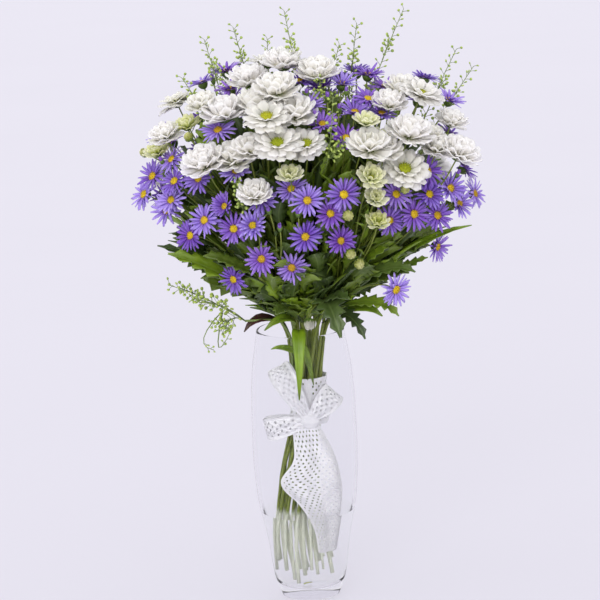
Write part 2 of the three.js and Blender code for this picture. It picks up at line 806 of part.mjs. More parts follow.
// The tail, or the plain slot round it that the water leaves
function ribbonTail(slot) {
  const spare = slot ? GAP * 2 : 0;
  const rows = TAIL_ROWS.map((row, index) => {
    const half = RIBBON_THICKNESS / 2 + (slot ? row.wave + GAP : 0);
    const height = row.height + (index === TAIL_ROWS.length - 1 ? -spare : 0);
    const face = (offset) =>
      Array.from({ length: TAIL_COLUMNS }, (_, column) => {
        const share = column / (TAIL_COLUMNS - 1);
        const edge = column === 0 ? -spare : column === TAIL_COLUMNS - 1 ? spare : 0;
        const turn = row.turns[0] + (row.turns[1] - row.turns[0]) * share + edge * 1.6;
        const wave = slot ? 0 : row.wave * (column % 2 ? 1 : -1);
        return onAxis(turn, row.radius + wave + offset, height);
      });
    return [...face(half), ...face(-half).reverse()];
  });
  return skin(rows.reverse());
}

// A loop of a bow: the cloth leaves the knot, turns back at the loop's end and comes home behind
function bowSolid(bow) {
  const reach = vector(bow.end).sub(KNOT);
  const depth = new THREE.Vector3(0, 1, 0);
  const side = reach.clone().cross(depth).normalize();
  const stepPoint = (step) =>
    KNOT.clone().addScaledVector(reach, step.reach).addScaledVector(depth, step.depth);
  const path = LOOP.map(stepPoint);
  const loops = path.map((point, index) => {
    const before = path[Math.max(index - 1, 0)];
    const after = path[Math.min(index + 1, path.length - 1)];
    const along = after.clone().sub(before).normalize();
    const across = side.clone().multiplyScalar((bow.width / 2) * LOOP[index].width);
    const normal = side.clone().cross(along).multiplyScalar(RIBBON_THICKNESS / 2);
    const corner = (a, b) => point.clone().addScaledVector(across, a).addScaledVector(normal, b);
    return [corner(-1, -1), corner(-1, 1), corner(1, 1), corner(1, -1)];
  });
  return skin(loops);
}

function drum(radius, low, high) {
  const outline = [[0, low], [radius, low], [radius, high], [0, high]];
  return turned(outline, WRAP_SIDES).translate([WAIST_ACROSS, 0, 0]);
}

function ribbon() {
  const outer = drum(WRAP_RADIUS + RIBBON_THICKNESS, WRAP_LOW, WRAP_HIGH);
  const wrap = outer.subtract(drum(WRAP_RADIUS, 0, JAR_HEIGHT));
  const knot = new THREE.SphereGeometry(1, 7, 4);
  knot.scale(...KNOT_SIZE);
  knot.translate(...KNOT);
  return joined([wrap, manifoldOfGeometry(knot), ribbonTail(false), ...BOWS.map(bowSolid)]);
}

// ---- The whole

const group = new THREE.Group();

function add(name, solid, color, roughness) {
  const mesh = solid.simplify(0.004).getMesh();
  const geometry = new THREE.BufferGeometry();
  geometry.setAttribute("position", new THREE.BufferAttribute(new Float32Array(mesh.vertProperties), 3));
  geometry.setIndex(Array.from(mesh.triVerts));
  geometry.computeVertexNormals();
  const node = new THREE.Mesh(geometry, new THREE.MeshStandardMaterial({ color, roughness, metalness: 0 }));
  node.name = name;
  group.add(node);
}

function addBlooms(name, solids, holes, color) {
  const bodies = joined(solids).subtract(holes).decompose().filter((body) => body.volume() > SCRAP);
  const ordered = bodies.sort((one, other) => one.boundingBox().min[0] - other.boundingBox().min[0]);
  ordered.forEach((body, index) => add(`${name}_${index + 1}`, body, color, 0.7));
}

const front = frontBlooms();
const blooms = layered([...front, ...backBlooms(front)]);
const buds = BUDS.map(([across, up, size], index) => bloomAt(domePoint(across, up, 6), size, "bud", index));
const sprays = planSprays(blooms, buds);
const cresses = CRESS.map(planCress);

const BOTH = ["white", "purple"];
const sprayHoles = sprays.map((spray) => sprayWood(spray, GAP, BOTH));
const cressHoles = joined(cresses.map((cress) => cressWood(cress, GAP)));
const podHoles = joined(cresses.map((cress) => cressPods(cress, GAP)));
const whites = blooms.filter((bloom) => bloom.kind === "white");
const whiteHoles = joined(whites.map((bloom) => bloomSolid(bloom, GAP)));
const cressWoods = cresses.map((cress) => cressWood(cress, 0));

add("jar", jar(), 0xe8eef0, 0.05);
add("ribbon", ribbon(), 0xf4f2f2, 0.8);
const stems = [...sprays.flatMap((spray) => spray.stems), ...cresses.map((cress) => cress.stem)];
const waterHoles = joined([...stems.map((stem) => stemSolid(stem, GAP)), ribbonTail(true)]);
add("water", water(waterHoles), 0xdfe8e6, 0.05);
const petals = whites.map((bloom) => bloomSolid(bloom, 0));
addBlooms("white_blooms", petals, joined([...sprayHoles, cressHoles]), 0xf5f1e6);

let bloomHoles = whiteHoles;
const purpleParts = sprays.map((spray, index) => {
  const others = sprayHoles.filter((_, other) => other !== index);
  const holes = joined([bloomHoles, cressHoles, ...others]);
  const part = joined(ofKind(spray, "purple").map((bloom) => purpleSolid(spray, bloom, holes)));
  bloomHoles = joined([bloomHoles, ...ofKind(spray, "purple").map((bloom) => bloomSolid(bloom, GAP))]);
  return part;
});
let leafHoles = joined([bloomHoles, podHoles]);
sprays.forEach((spray, index) => {
  const others = sprayHoles.filter((_, other) => other !== index);
  const holes = joined([leafHoles, cressHoles, ...others]);
  const leaves = joined(spray.leaves.map((leaf) => leafSolid(leaf, 0))).subtract(holes);
  const wood = sprayWood(spray, 0, ["white"]);
  const whole = largest(joined([wood, purpleParts[index], leaves]));
  add(`sprays_${spray.name}`, whole, 0x4f7a2a, 0.6);
  leafHoles = joined([leafHoles, ...spray.leaves.map((leaf) => leafSolid(leaf, GAP))]);
});
cresses.forEach((cress, index) => {
  const pods = cressPods(cress, 0).subtract(joined([bloomHoles, ...sprayHoles]));
  add(`cress_${cress.name}`, largest(cressWoods[index].add(pods)), 0x7da03c, 0.6);
});

export default group;
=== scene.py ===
"""Spray chrysanthemums, asters and penny-cress in a tall glass jar, tied with a lace ribbon."""

import math

import bmesh
import bpy
import numpy as np
from mathutils import Matrix, Vector


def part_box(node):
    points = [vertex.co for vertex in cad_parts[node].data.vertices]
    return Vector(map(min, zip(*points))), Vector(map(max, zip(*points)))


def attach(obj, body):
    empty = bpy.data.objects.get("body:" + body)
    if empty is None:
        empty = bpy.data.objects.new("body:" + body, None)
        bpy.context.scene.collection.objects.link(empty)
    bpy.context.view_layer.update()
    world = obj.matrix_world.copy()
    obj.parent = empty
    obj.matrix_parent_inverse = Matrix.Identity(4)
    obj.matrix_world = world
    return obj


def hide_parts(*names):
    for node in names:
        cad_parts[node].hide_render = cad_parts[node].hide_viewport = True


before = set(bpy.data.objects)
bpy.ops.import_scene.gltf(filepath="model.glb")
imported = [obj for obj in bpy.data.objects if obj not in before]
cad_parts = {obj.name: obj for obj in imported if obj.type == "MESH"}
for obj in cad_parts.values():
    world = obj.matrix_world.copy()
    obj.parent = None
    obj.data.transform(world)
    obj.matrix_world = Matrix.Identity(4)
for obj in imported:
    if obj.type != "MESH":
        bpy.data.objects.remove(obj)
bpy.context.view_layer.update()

# ---- Sizes, in millimetres; turns and tilts in degrees

MM = 0.001
GOLDEN = 0.618034
GOLDEN_ANGLE = 2.39996
UP = Vector((0, 0, 1))
BACK = Vector((0, 1, 0))

JAR_HEIGHT = 300
JAR_FLOOR = 14
JAR_WALL = 2.6
JAR_AROUND = 96
JAR_ROWS = 44
# The jar's outer wall: a radius at each height
JAR_OUTSIDE = [
    (31, 0), (36.8, 15), (46, 69), (53, 104), (57, 150), (57, 198), (54.4, 254), (48, 296),
]
FOOT_ROUNDING = 2.2
WALL_START = 5
WALL_END = JAR_HEIGHT - 2.4
INSIDE_END = JAR_HEIGHT - 4
CORNER = 7
AXIS_GAP = 0.5
LIP = 1.3
GLASS_BENDING = 1.16
GLASS_TINT = (0.967, 0.968, 0.974)
WATER_LEVEL = 98
WATER_OVERLAP = 0.12
WATER_ROWS = 16
WATER_BENDING = 1.08
WATER_TINT = (0.985, 0.99, 0.98)

WAIST_HEIGHT = 203
WAIST_ACROSS = 6
BUNDLE_LEAN = 0.045
BUNDLE_TOP = 285
BUNDLE_BOW = 7
LEFT_BOW = 6
BOW_FOOT = 12
# The rings of stems at the waist: radius, lean, how many places, and the turn of the first
RINGS = [(14.5, 0.14, 13, -8.8), (9, 0.1, 10, -130), (2.9, 0.03, 3, 0)]
WHITE_STEM = 2.1
PURPLE_STEM = 1.7
CRESS_STEM = 1.3
SPRAY_FEET = (21, 44)
CRESS_FEET = (22, 48)
STEM_BEND = 0.45
STEM_STEPS = (8, 6)
STEM_TAPER = 0.85
SHORT_STEM = 0.04

DOME_MIDDLE = Vector((16, 0, 463))
DOME_SIZE = Vector((180, 140, 127))
FAN_POINT = Vector((WAIST_ACROSS, 0, JAR_HEIGHT))
FAN_PULL = 0.35
EYE = Vector((0, -2739, 913))
LOOK_AT = Vector((1.35, 0, 331))
LENS = 155.6
CAMERA_ROLL = -2.5

LIFTS = {"white": 6, "purple": -9}
LAYER_ROUNDS = 40
LAYER_LIMIT = 20
LAYER_STEP = {"white": 5.5, "purple": 3.5}
LAYER_NEAR = 6000
LAYER_OVERLAP = 0.82
LAYER_PUSH = 0.6
CUPPED_DROP = 6
TOP_LEVEL = 510
TOP_DEPTH = 60
FACES_AWAY = -0.35
LOW_ASTERS = 372
LOW_FORWARD = 48
LOW_TURN = 0.8
UPWARD = {"open": 0.6, "cupped": 1.3}

# Sprays: name, turn and tilt, how far off it forks and how long its head is, and the ring and
# place of its first stem
SPRAYS = [
    ("right", 5, 56, 64, 66, 0, 0),
    ("back", 90, 54, 64, 54, 0, 3),
    ("left", 176, 56, 64, 54, 0, 6),
    ("front_left", -122, 50, 64, 50, 0, 9),
    ("front_right", -52, 50, 64, 50, 0, 11),
    ("upper_front_left", -118, 26, 70, 96, 1, 0),
    ("upper_front_right", -50, 26, 70, 96, 1, 2),
    ("upper_right", 22, 28, 70, 110, 1, 4),
    ("upper_left", 162, 28, 70, 110, 1, 7),
    ("upper_back", 90, 20, 70, 110, 2, 0),
]

# Penny-cress: name, ring and place of the stem, its fork, and the tips of its twigs
CRESS = [
    ("left", 1, 9, (-52, -8, 462), [(-113, -15, 579), (-88, 5, 616)]),
    ("back", 0, 5, (-24, 62, 470), [(-58, 60, 622), (-22, 84, 606), (-80, 92, 580)]),
    ("middle", 2, 2, (22, -34, 478), [(-2, -31, 646), (54, -30, 609), (32, -78, 578)]),
    ("right", 1, 6, (52, 24, 462), [(74, 6, 626), (125, 26, 637)]),
    ("far_right", 0, 2, (104, 44, 424), [(198, 30, 572), (182, 58, 588)]),
    ("low_left", 0, 8, (-58, -34, 318), [(-135, -62, 366), (-104, -82, 350), (-84, -70, 316)]),
]
CRESS_BEND = 0.45
# Twigs that come out between the front blooms, and bare trailing ones: the bend and tip of each
FRONT_TWIGS = {
    "middle": [((36, -160, 470), (44, -116, 566)), ((34, -150, 500), (52, -126, 520))],
    "left": [((-50, -150, 430), (-58, -134, 486))],
}
TENDRILS = {"low_left": [((-98, -72, 268), (-70, -76, 322)), ((-118, -60, 300), (-92, -70, 296))]}
# The pods of a twig: from which share of it on, how many, and how long the stalks and the pods are
CLOSE_PODS = (0.3, 34, 9, 4.1)
LOOSE_PODS = (0.3, 20, 11, 4.4)
BRANCH_PODS = (0.3, 12, 6, 4)
FRONT_PODS = (0.55, 26, 7, 4.4)
TENDRIL_PODS = (0.6, 5, 5, 3.4)
BRANCH_LENGTH = 26

# Blooms of the front, by where each shows on the plane of the jar's axis: across, up, width
WHITE_BLOOMS = [
    (-70, 539, 50), (-90, 547, 37), (-113, 534, 32), (-131, 518, 37), (-144, 504, 32),
    (-37, 554, 52), (-13, 559, 50), (3, 539, 50), (-25, 523, 48), (-14, 499, 50),
    (15, 502, 43), (-45, 504, 43), (-66, 498, 50), (-91, 487, 50), (-42, 453, 39),
    (-3, 471, 32), (-5, 589, 48), (30, 579, 48), (-43, 578, 48), (75, 518, 30),
    (95, 518, 28), (123, 509, 50), (80, 495, 48), (98, 496, 39), (136, 543, 48),
    (123, 561, 45), (105, 544, 39), (154, 514, 39), (170, 522, 37), (169, 483, 48),
    (154, 493, 37), (118, 471, 52), (81, 460, 32), (87, 438, 28), (89, 417, 28),
]
# Those of them that are wide open; the rest are cupped and face up
WIDE_OPEN = (8, 9, 10, 24, 31, 32, 33)
YOUNG_SIZE = 34
PURPLE_BLOOMS = [
    (-92, 571), (-66, 582), (-63, 563), (-77, 518), (-62, 476), (-124, 488), (-150, 473),
    (-126, 467), (-160, 454), (-132, 448), (-101, 468), (-142, 436), (-94, 423), (-76, 437),
    (-68, 412), (-113, 407), (-46, 415), (-35, 443), (-3, 453), (14, 439), (38, 424),
    (53, 444), (10, 400), (48, 394), (-38, 378), (-6, 367), (-69, 357), (11, 566),
    (33, 563), (56, 563), (83, 570), (102, 560), (83, 545), (69, 534), (97, 530),
    (34, 525), (58, 505), (20, 543), (169, 541), (144, 566), (142, 467), (145, 442),
    (166, 446), (176, 429), (193, 439), (131, 420), (109, 442), (103, 413), (153, 417),
    (151, 383), (105, 338),
]
PURPLE_SIZE = 35
BACK_STEPS = 90
BACK_TILT = 108
BACK_SPACE = 38
BACK_SIZES = {"white": 46, "purple": PURPLE_SIZE}
BUDS = [
    (-158, 499, 10), (-110, 514, 10), (57, 421, 12), (58, 379, 11), (67, 368, 12), (119, 447, 10),
]
BUD_LIFT = 6
LOW_BUD = Vector((10, -64, 318))
LOW_BUD_SIZE = 12
LOW_BUD_TONE = 0.25
VIOLET_BUDS = [
    (-28, 431, 10), (-17, 412, 10), (3, 427, 11), (-140, 490, 9), (40, 551, 10), (26, 532, 9),
    (52, 538, 9), (-81, 575, 10), (176, 462, 9), (60, 556, 9), (18, 556, 9),
]
VIOLET_BUD_LIFT = 2

# Leaves that show singly: spray, height on its stem, bend, tip, width, lobed or plain, and shade
LEAVES = [
    ("front_left", 294, (0, -62, 336), (-4, -65, 236), 15, "plain", 0.95),
    ("front_left", 270, (-14, -30, 290), (-32, -26, 284), 9, "plain", 0.9),
    ("front_left", 306, (-10, -50, 334), (-38, -58, 312), 13, "plain", 0.75),
    ("left", 304, (-44, -30, 330), (-60, -34, 306), 12, "plain", 0.0),
    ("front_right", 318, (26, -78, 372), (42, -106, 312), 34, "lobed", 0.3),
    ("front_right", 308, (52, -56, 342), (68, -74, 302), 20, "lobed", 0.15),
    ("right", 308, (66, -40, 340), (88, -58, 322), 14, "plain", 0.8),
    ("front_left", 325, (-74, -58, 378), (-134, -72, 402), 30, "lobed", 0.8),
    ("left", 325, (-86, -20, 384), (-146, -46, 406), 18, "lobed", 0.2),
    ("right", 330, (124, -20, 400), (186, -48, 414), 11, "plain", 0.9),
    ("right", 325, (116, -34, 372), (138, -52, 382), 14, "lobed", 0.6),
    ("front_right", 325, (92, -70, 392), (122, -96, 376), 20, "lobed", 0.4),
    ("front_right", 318, (84, -58, 352), (104, -78, 326), 18, "lobed", 0.7),
    ("front_left", 318, (-8, -70, 366), (8, -118, 384), 28, "lobed", 0.35),
    ("front_right", 320, (30, -70, 352), (52, -112, 354), 26, "lobed", 0.3),
    ("front_left", 312, (-16, -66, 342), (-24, -108, 340), 26, "lobed", 0.45),
    ("front_right", 326, (50, -80, 376), (66, -118, 390), 26, "lobed", 0.25),
    ("front_left", 290, (5, -30, 290), (12, -34, 244), 9, "plain", 0.75),
]
LEAF_TO_FRONT = 0.6
INNER_LEAVES = {0: 4, 1: 1, 2: 1}
INNER_LEAF_LENGTH = 52
INNER_LEAF_WIDTH = 30
INNER_LEAF_RISE = 0.2
# How far along the spray and how far aside an inner leaf bends, and how far along it ends
INNER_LEAF_BEND = (34, 14)
INNER_LEAF_END = 40
FILLING_LEAVES = 1250
FILLING_CROWDING = 1.35
FILLING_CAP = 0.47
FILLING_DEPTH = 22
FILLING_NEAREST = 66
FILLING_LENGTHS = (30, 56)
FILLING_LONGEST = 0.62
SLIM_WIDTH = 0.17
FILLING_WIDTH = 0.55
STEM_LEAVES = 14
STEM_LEAF_LENGTHS = (16, 34)
STALK_LEAVES = 3
STALK_LEAF_LENGTHS = (11, 20)
STALK_LEAF_TURN = 2.4
# Radii of side stalks and twigs, from foot to tip, of a bud's stalk and of a pod's thread
STALK_RADII = (0.9, 0.75)
TWIG_RADII = (0.75, 0.35)
BUD_STALK = 0.8
POD_THREAD = 0.28

WRAP_RADIUS = 20.4
WRAP_LOW = 196
WRAP_HIGH = 248
KNOT = Vector((WAIST_ACROSS, -24, WAIST_HEIGHT))
KNOT_SIZE = Vector((11, 6, 10))
# The turns of cloth round the knot: a level, and how far it is drawn in or stands out
KNOT_TURNS = [(-0.55, 0.88), (-0.2, 1.06), (0.15, 0.9), (0.5, 1.08)]
# The tail from top to bottom: height, turn of its left and of its right edge, radius, wave
TAIL_ROWS = [
    (200, -122, -52, 25, 1.2),
    (163, -112, -24, 36, 2.4),
    (136, -134, -22, 43, 3),
    (114, -104, -22, 43, 2.4),
    (86, -82, -27, 39, 1.6),
    (56, -74, -34, 35, 1),
]
TAIL_FLAT = (76, 152)
# Bows: name, how far the loop reaches, width of the cloth
BOWS = [("high", (-26, -25, 264), 27), ("low", (-42, -17, 193), 25), ("right", (34, -19, 233), 28)]
BOW_STEPS = 40
# A loop from the knot and back to it: reach, depth, width
LOOP = [
    (0.06, -2, 0.3), (0.45, -7, 0.8), (0.85, -7, 1), (1, 0, 0.85), (0.85, 6, 1), (0.45, 5, 0.8),
    (0.08, 2, 0.3),
]
EYELET_CELL = 3.6
EYELET_MARGIN = 0.21
LACE_THICKNESS = 0.0005

FLOOR_TINT = (0.2, 0.1945, 0.2185)
FLOOR_GLOW = 2.67
SKY_TINT = (0.985, 0.98, 1.0)
SKY_GLOW = (0.98, 1.13)
SOFT_LIGHT_SIDE = Vector((-0.4, -1.6, 0.8))
KEY_STRENGTH = 1.1
KEY_SOFTNESS = 35

rng = np.random.default_rng(7)


def spread(index, low, high):
    """An even scatter between two values, by number and not by chance."""
    return low + (high - low) * ((index * GOLDEN) % 1)


def drawn(low, high):
    """A random value between two others."""
    return float(rng.uniform(low, high))


def swayed(amount, middle=0):
    """A random value round a middle."""
    return float(rng.normal(middle, amount))


def kept(value, low=0, high=1):
    return float(min(max(value, low), high))


def divided(one, other):
    return Vector(a / b for a, b in zip(one, other))


def multiplied(one, other):
    return Vector(a * b for a, b in zip(one, other))


def grown(size, lift):
    return size + Vector((lift, lift, lift))


def acrossing(direction):
    """A direction square to another one."""
    other = UP if abs(direction.z) < 0.9 else Vector((1, 0, 0))
    return other.cross(direction).normalized()


def beside(path):
    """A direction square to the way a path starts."""
    return acrossing((path[1] - path[0]).normalized())


def around(axis, turn):
    """The direction out from an axis at a turn about it."""
    side = acrossing(axis)
    return side * math.cos(turn) + axis.cross(side) * math.sin(turn)


def direction_of(turn, tilt):
    level = math.sin(tilt)
    return Vector((level * math.cos(turn), level * math.sin(turn), math.cos(tilt)))


def curve(start, bend, end, steps):
    shares = [step / steps for step in range(steps + 1)]
    return [(1 - t) ** 2 * start + 2 * t * (1 - t) * bend + t * t * end for t in shares]


def on_path(path, share):
    """A point of a path, and the way the path runs there."""
    at = share * (len(path) - 1)
    low = min(int(at), len(path) - 2)
    return path[low].lerp(path[low + 1], at - low), (path[low + 1] - path[low]).normalized()


# ---- Where everything grows


def ring_point(stem, height):
    radius, lean, places, start = RINGS[stem["ring"]]
    rise = height - WAIST_HEIGHT
    top_turn = math.radians(start + stem["place"] * 360 / places)
    turn = top_turn - math.atan((BUNDLE_TOP - WAIST_HEIGHT) * lean / radius)
    aside = rise * lean
    across = WAIST_ACROSS + min(rise, 0) * BUNDLE_LEAN
    x = across + radius * math.cos(turn) - aside * math.sin(turn)
    return Vector((x, radius * math.sin(turn) + aside * math.cos(turn), height))


def bowed(point):
    """A point below the waist, moved to the left as the bundle bows, the left stems the most."""
    low = max(WAIST_HEIGHT - point.z, 0) / (WAIST_HEIGHT - BOW_FOOT)
    leftness = kept((WAIST_ACROSS - point.x) / RINGS[0][0])
    return point - Vector(((BUNDLE_BOW + LEFT_BOW * leftness) * math.sin(math.pi * low), 0, 0))


def stem_path(stem):
    foot = ring_point(stem, stem["foot"])
    top = ring_point(stem, BUNDLE_TOP)
    heading = (top - ring_point(stem, WAIST_HEIGHT)).normalized()
    bend = top + heading * ((stem["goal"] - top).length * STEM_BEND)
    steps, steps_above = STEM_STEPS
    low = [bowed(foot.lerp(top, step / steps)) for step in range(steps)]
    return [*low, *curve(top, bend, stem["goal"], steps_above), stem["end"]]


def dome_hit(start, ray, size, side):
    """A ray in the measure in which the dome is a ball, and how far along it the dome is met."""
    start, ray = divided(start - DOME_MIDDLE, size), divided(ray, size)
    a, b, c = ray.length_squared, start.dot(ray), start.length_squared - 1
    return start, ray, (-b + side * math.sqrt(max(b * b - a * c, 0))) / a


def dome_point(across, up, lift):
    """The point of the dome that shows at a place on the plane of the jar's axis."""
    size = grown(DOME_SIZE, lift)
    start, ray, reach = dome_hit(EYE, Vector((across, 0, up)) - EYE, size, -1)
    return multiplied(start + ray * reach, size) + DOME_MIDDLE


def dome_reach(direction):
    """How far it is from the fan point to the dome along a direction."""
    return dome_hit(FAN_POINT, direction, DOME_SIZE, 1)[2]


def facing_at(point, index):
    outward = divided(divided(point - DOME_MIDDLE, DOME_SIZE), DOME_SIZE).normalized()
    from_fan = (point - FAN_POINT).normalized()
    sway = ((index, -0.2, 0.2), (index + 3, -0.16, 0.1), (index + 7, -0.1, 0.2))
    return (outward + from_fan * FAN_PULL + Vector(spread(*part) for part in sway)).normalized()


def bloom_at(place, size, kind, index):
    return {
        "place": place,
        "size": size,
        "kind": kind,
        "facing": facing_at(place, index),
        "roll": spread(index, 0, 60),
        "index": index,
    }


def front_blooms():
    blooms = []
    for index, (across, up, size) in enumerate(WHITE_BLOOMS):
        place = dome_point(across, up, LIFTS["white"] + spread(index, -3, 3))
        form = "open" if index in WIDE_OPEN else "cupped"
        blooms.append({**bloom_at(place, size, "white", index), "form": form})
    for index, (across, up) in enumerate(PURPLE_BLOOMS):
        place = dome_point(across, up, LIFTS["purple"] + spread(index, -3, 3))
        blooms.append(bloom_at(place, PURPLE_SIZE + spread(index, -2, 2), "purple", index))
    return blooms


def with_back_blooms(front):
    """The blooms of the front, and those of the back where there is room for them."""
    blooms = list(front)
    for step in range(BACK_STEPS):
        kind = "white" if step % 6 == 1 else "purple"
        turn = math.radians(spread(step, 0, 360))
        share = (step + 0.5) / BACK_STEPS
        outward = direction_of(turn, math.acos(1 - share * (1 - math.cos(math.radians(BACK_TILT)))))
        place = multiplied(outward, grown(DOME_SIZE, LIFTS[kind])) + DOME_MIDDLE
        if place.y > 0 and all((bloom["place"] - place).length > BACK_SPACE for bloom in blooms):
            blooms.append(bloom_at(place, BACK_SIZES[kind], kind, step))
    return blooms


def layered(blooms):
    """Moves blooms out or in until those that overlap face-on lie one above the other."""
    places = [bloom["place"].copy() for bloom in blooms]
    for _ in range(LAYER_ROUNDS):
        for i, one in enumerate(blooms):
            for j, other in enumerate(blooms[:i]):
                gap = places[i] - places[j]
                if gap.length_squared > LAYER_NEAR:
                    continue
                facing = (one["facing"] + other["facing"]).normalized()
                rise = gap.dot(facing)
                aside = math.sqrt(max(gap.length_squared - rise * rise, 0))
                need = LAYER_STEP[one["kind"]] + LAYER_STEP[other["kind"]]
                touching = aside < (one["size"] + other["size"]) / 2 * LAYER_OVERLAP
                if touching and abs(rise) < need:
                    push = (need - abs(rise)) / 2 * LAYER_PUSH * (-1 if rise < 0 else 1)
                    places[i] += facing * push
                    places[j] -= facing * push
        for index, bloom in enumerate(blooms):
            shift = places[index] - bloom["place"]
            places[index] = bloom["place"] + shift * min(1, LAYER_LIMIT / max(shift.length, 1e-6))
    for bloom, place in zip(blooms, places):
        bloom["place"] = place
    return blooms


def turned(blooms):
    """Turns the faces of the blooms up, as they grow, and those of the front asters to the eye.

    Cupped blooms sit lower, and the lowest asters of the front come forward, clear of the leaves.
    """
    for bloom in blooms:
        place = bloom["place"]
        front = (EYE - place).normalized()
        near_top = kept((place.z - TOP_LEVEL) / TOP_DEPTH)
        share = spread(bloom["index"], 0.1, 0.7) * (1 - near_top)
        if bloom["kind"] == "white" or bloom["facing"].dot(front) < FACES_AWAY:
            share = 0
        if bloom["kind"] == "purple" and place.z < LOW_ASTERS and place.y < 0:
            share = LOW_TURN
            bloom["place"] = place + front * LOW_FORWARD
        if bloom.get("form") == "cupped":
            bloom["place"] = place - UP * CUPPED_DROP
        lift = UPWARD.get(bloom.get("form"), 0.3 + 0.5 * near_top)
        bloom["facing"] = (bloom["facing"] + front * share + UP * lift).normalized()
    return blooms


def spray_of(place):
    heading = (place - FAN_POINT).normalized()
    return max(sprays, key=lambda spray: spray["axis"].dot(heading))


def planned_spray(number, name, turn, tilt, reach, length, ring, place):
    """A spray's two stems and their shared axis, with bunches for its leaves and its asters."""
    axis = direction_of(math.radians(turn), math.radians(tilt))
    goal = FAN_POINT + axis * reach
    end = goal + axis * length
    stems = [
        {
            "ring": ring,
            "place": place + index,
            "radius": radius,
            "foot": spread(number * 2 + index, *SPRAY_FEET),
            "goal": goal,
            "end": goal.lerp(end, SHORT_STEM) if index else end,
        }
        for index, radius in enumerate((WHITE_STEM, PURPLE_STEM))
    ]
    spray = {"name": name, "number": number, "ring": ring, "axis": axis, "joints": (goal, end)}
    return {**spray, "stems": stems, "blooms": [], "greens": Bunch(), "violets": Bunch()}


def joint(spray, share):
    """Where a side stalk leaves the spray, by its share of the head."""
    low, high = spray["joints"]
    return low.lerp(high, share)


def hang_blooms():
    for bloom in blooms:
        spray_of(bloom["place"])["blooms"].append(bloom)
    for spray in sprays:
        spray["blooms"].sort(key=lambda bloom: bloom["place"].dot(spray["axis"]))
        for rank, bloom in enumerate(spray["blooms"]):
            bloom["joint"] = (rank + 0.5) / len(spray["blooms"])


# ---- Masters: each shape is modelled once, one unit long along Y, and copied

WHITE_ROWS = [(0.34, 0), (0.66, 0), (0.92, 0), (1, 0), (0.9, 0), (0.52, -0.03)]
VIOLET_ROWS = [(0.45, 0), (0.85, 0), (1, 0), (0.9, 0), (0.4, 0)]
PLAIN_ROWS = [(0.14, 0), (0.55, 0), (0.85, 0), (1, 0), (0.9, 0), (0.68, 0), (0.4, 0), (0.06, 0)]
LEAF_STALK = [(0.12, 0), (0.08, 0), (0.08, 0), (0.12, 0)]
TEETH = [(0.3, 0.55), (0.38, 0.86), (0.5, 1), (0.5, 0.95), (0.42, 0.76), (0.28, 0.48)]
TOOTHED_ROWS = [row for valley, tooth in TEETH for row in ((valley, 0), (tooth, 0.035))]
FILLING_ROWS = [
    (0.1, 0), (0.3, 0), (0.75, 0.06), (0.45, 0), (1, 0.07), (0.5, 0), (0.8, 0.07), (0.3, 0),
    (0.04, 0),
]
# Blades: rows of a width and how far its edges reach on, squares across, fold and thickness
BLADES = {
    "white_petal": (WHITE_ROWS, 4, 0.13, 0.035),
    "violet_petal": (VIOLET_ROWS, 2, 0.1, 0.09),
    "plain": (PLAIN_ROWS, 4, 0.16, 0.05),
    "lobed": ([*LEAF_STALK, *TOOTHED_ROWS, (0.14, 0), (0.03, 0)], 4, 0.16, 0.03),
    "filling": (FILLING_ROWS, 2, 0.16, 0.03),
    "slim": (PLAIN_ROWS[::2] + PLAIN_ROWS[-1:], 2, 0.16, 0.08),
}
# Rods: sides and rings
RODS = {"stem": (8, 24), "stalk": (6, 6), "thread": (4, 3)}
# Round shapes: sides, and a radius at each level
ROUNDS = {
    "floret": (5, [(0.5, 0), (0.55, 0.6), (0.95, 1), (0.35, 0.72)]),
    "cup": (12, [(0.2, 0), (0.62, 0.16), (0.93, 0.5), (1, 0.9), (0.94, 1), (0.6, 0.94)]),
    "button": (12, [(0.9, 0), (1, 0.35), (0.8, 0.72), (0.45, 0.95), (0.15, 1)]),
    "bud": (10, [(0.3, 0), (0.8, 0.15), (1, 0.45), (0.88, 0.75), (0.5, 0.95), (0.12, 1)]),
    "pod": (
        10,
        [(0.12, 0), (0.62, 0.12), (0.94, 0.35), (1, 0.56), (0.9, 0.78), (0.6, 0.94), (0.12, 0.97)],
    ),
}
POD_FLATNESS = 0.5


def deselected():
    if bpy.context.mode != "OBJECT":
        bpy.ops.object.mode_set(mode="OBJECT")
    bpy.ops.object.select_all(action="DESELECT")


def alone(piece):
    deselected()
    piece.select_set(True)
    bpy.context.view_layer.objects.active = piece


def primitive(name, add, **settings):
    """A new primitive, with nothing else selected."""
    deselected()
    add(**settings)
    bpy.context.object.name = name
    return bpy.context.object


def editing(kind="VERT"):
    bpy.ops.object.mode_set(mode="EDIT")
    bpy.ops.mesh.select_mode(type=kind)


def chosen(choose):
    """Selects the vertices of the piece in edit mode that choose() wants."""
    mesh = bmesh.from_edit_mesh(bpy.context.edit_object.data)
    for vert in mesh.verts:
        vert.select_set(bool(choose(vert.co)))
    mesh.select_flush(True)
    mesh.select_flush(False)
    bmesh.update_edit_mesh(bpy.context.edit_object.data)


def applied(piece, kind, **settings):
    modifier = piece.modifiers.new(kind, kind)
    for name, value in settings.items():
        setattr(modifier, name, value)
    bpy.ops.object.modifier_apply(modifier=modifier.name)


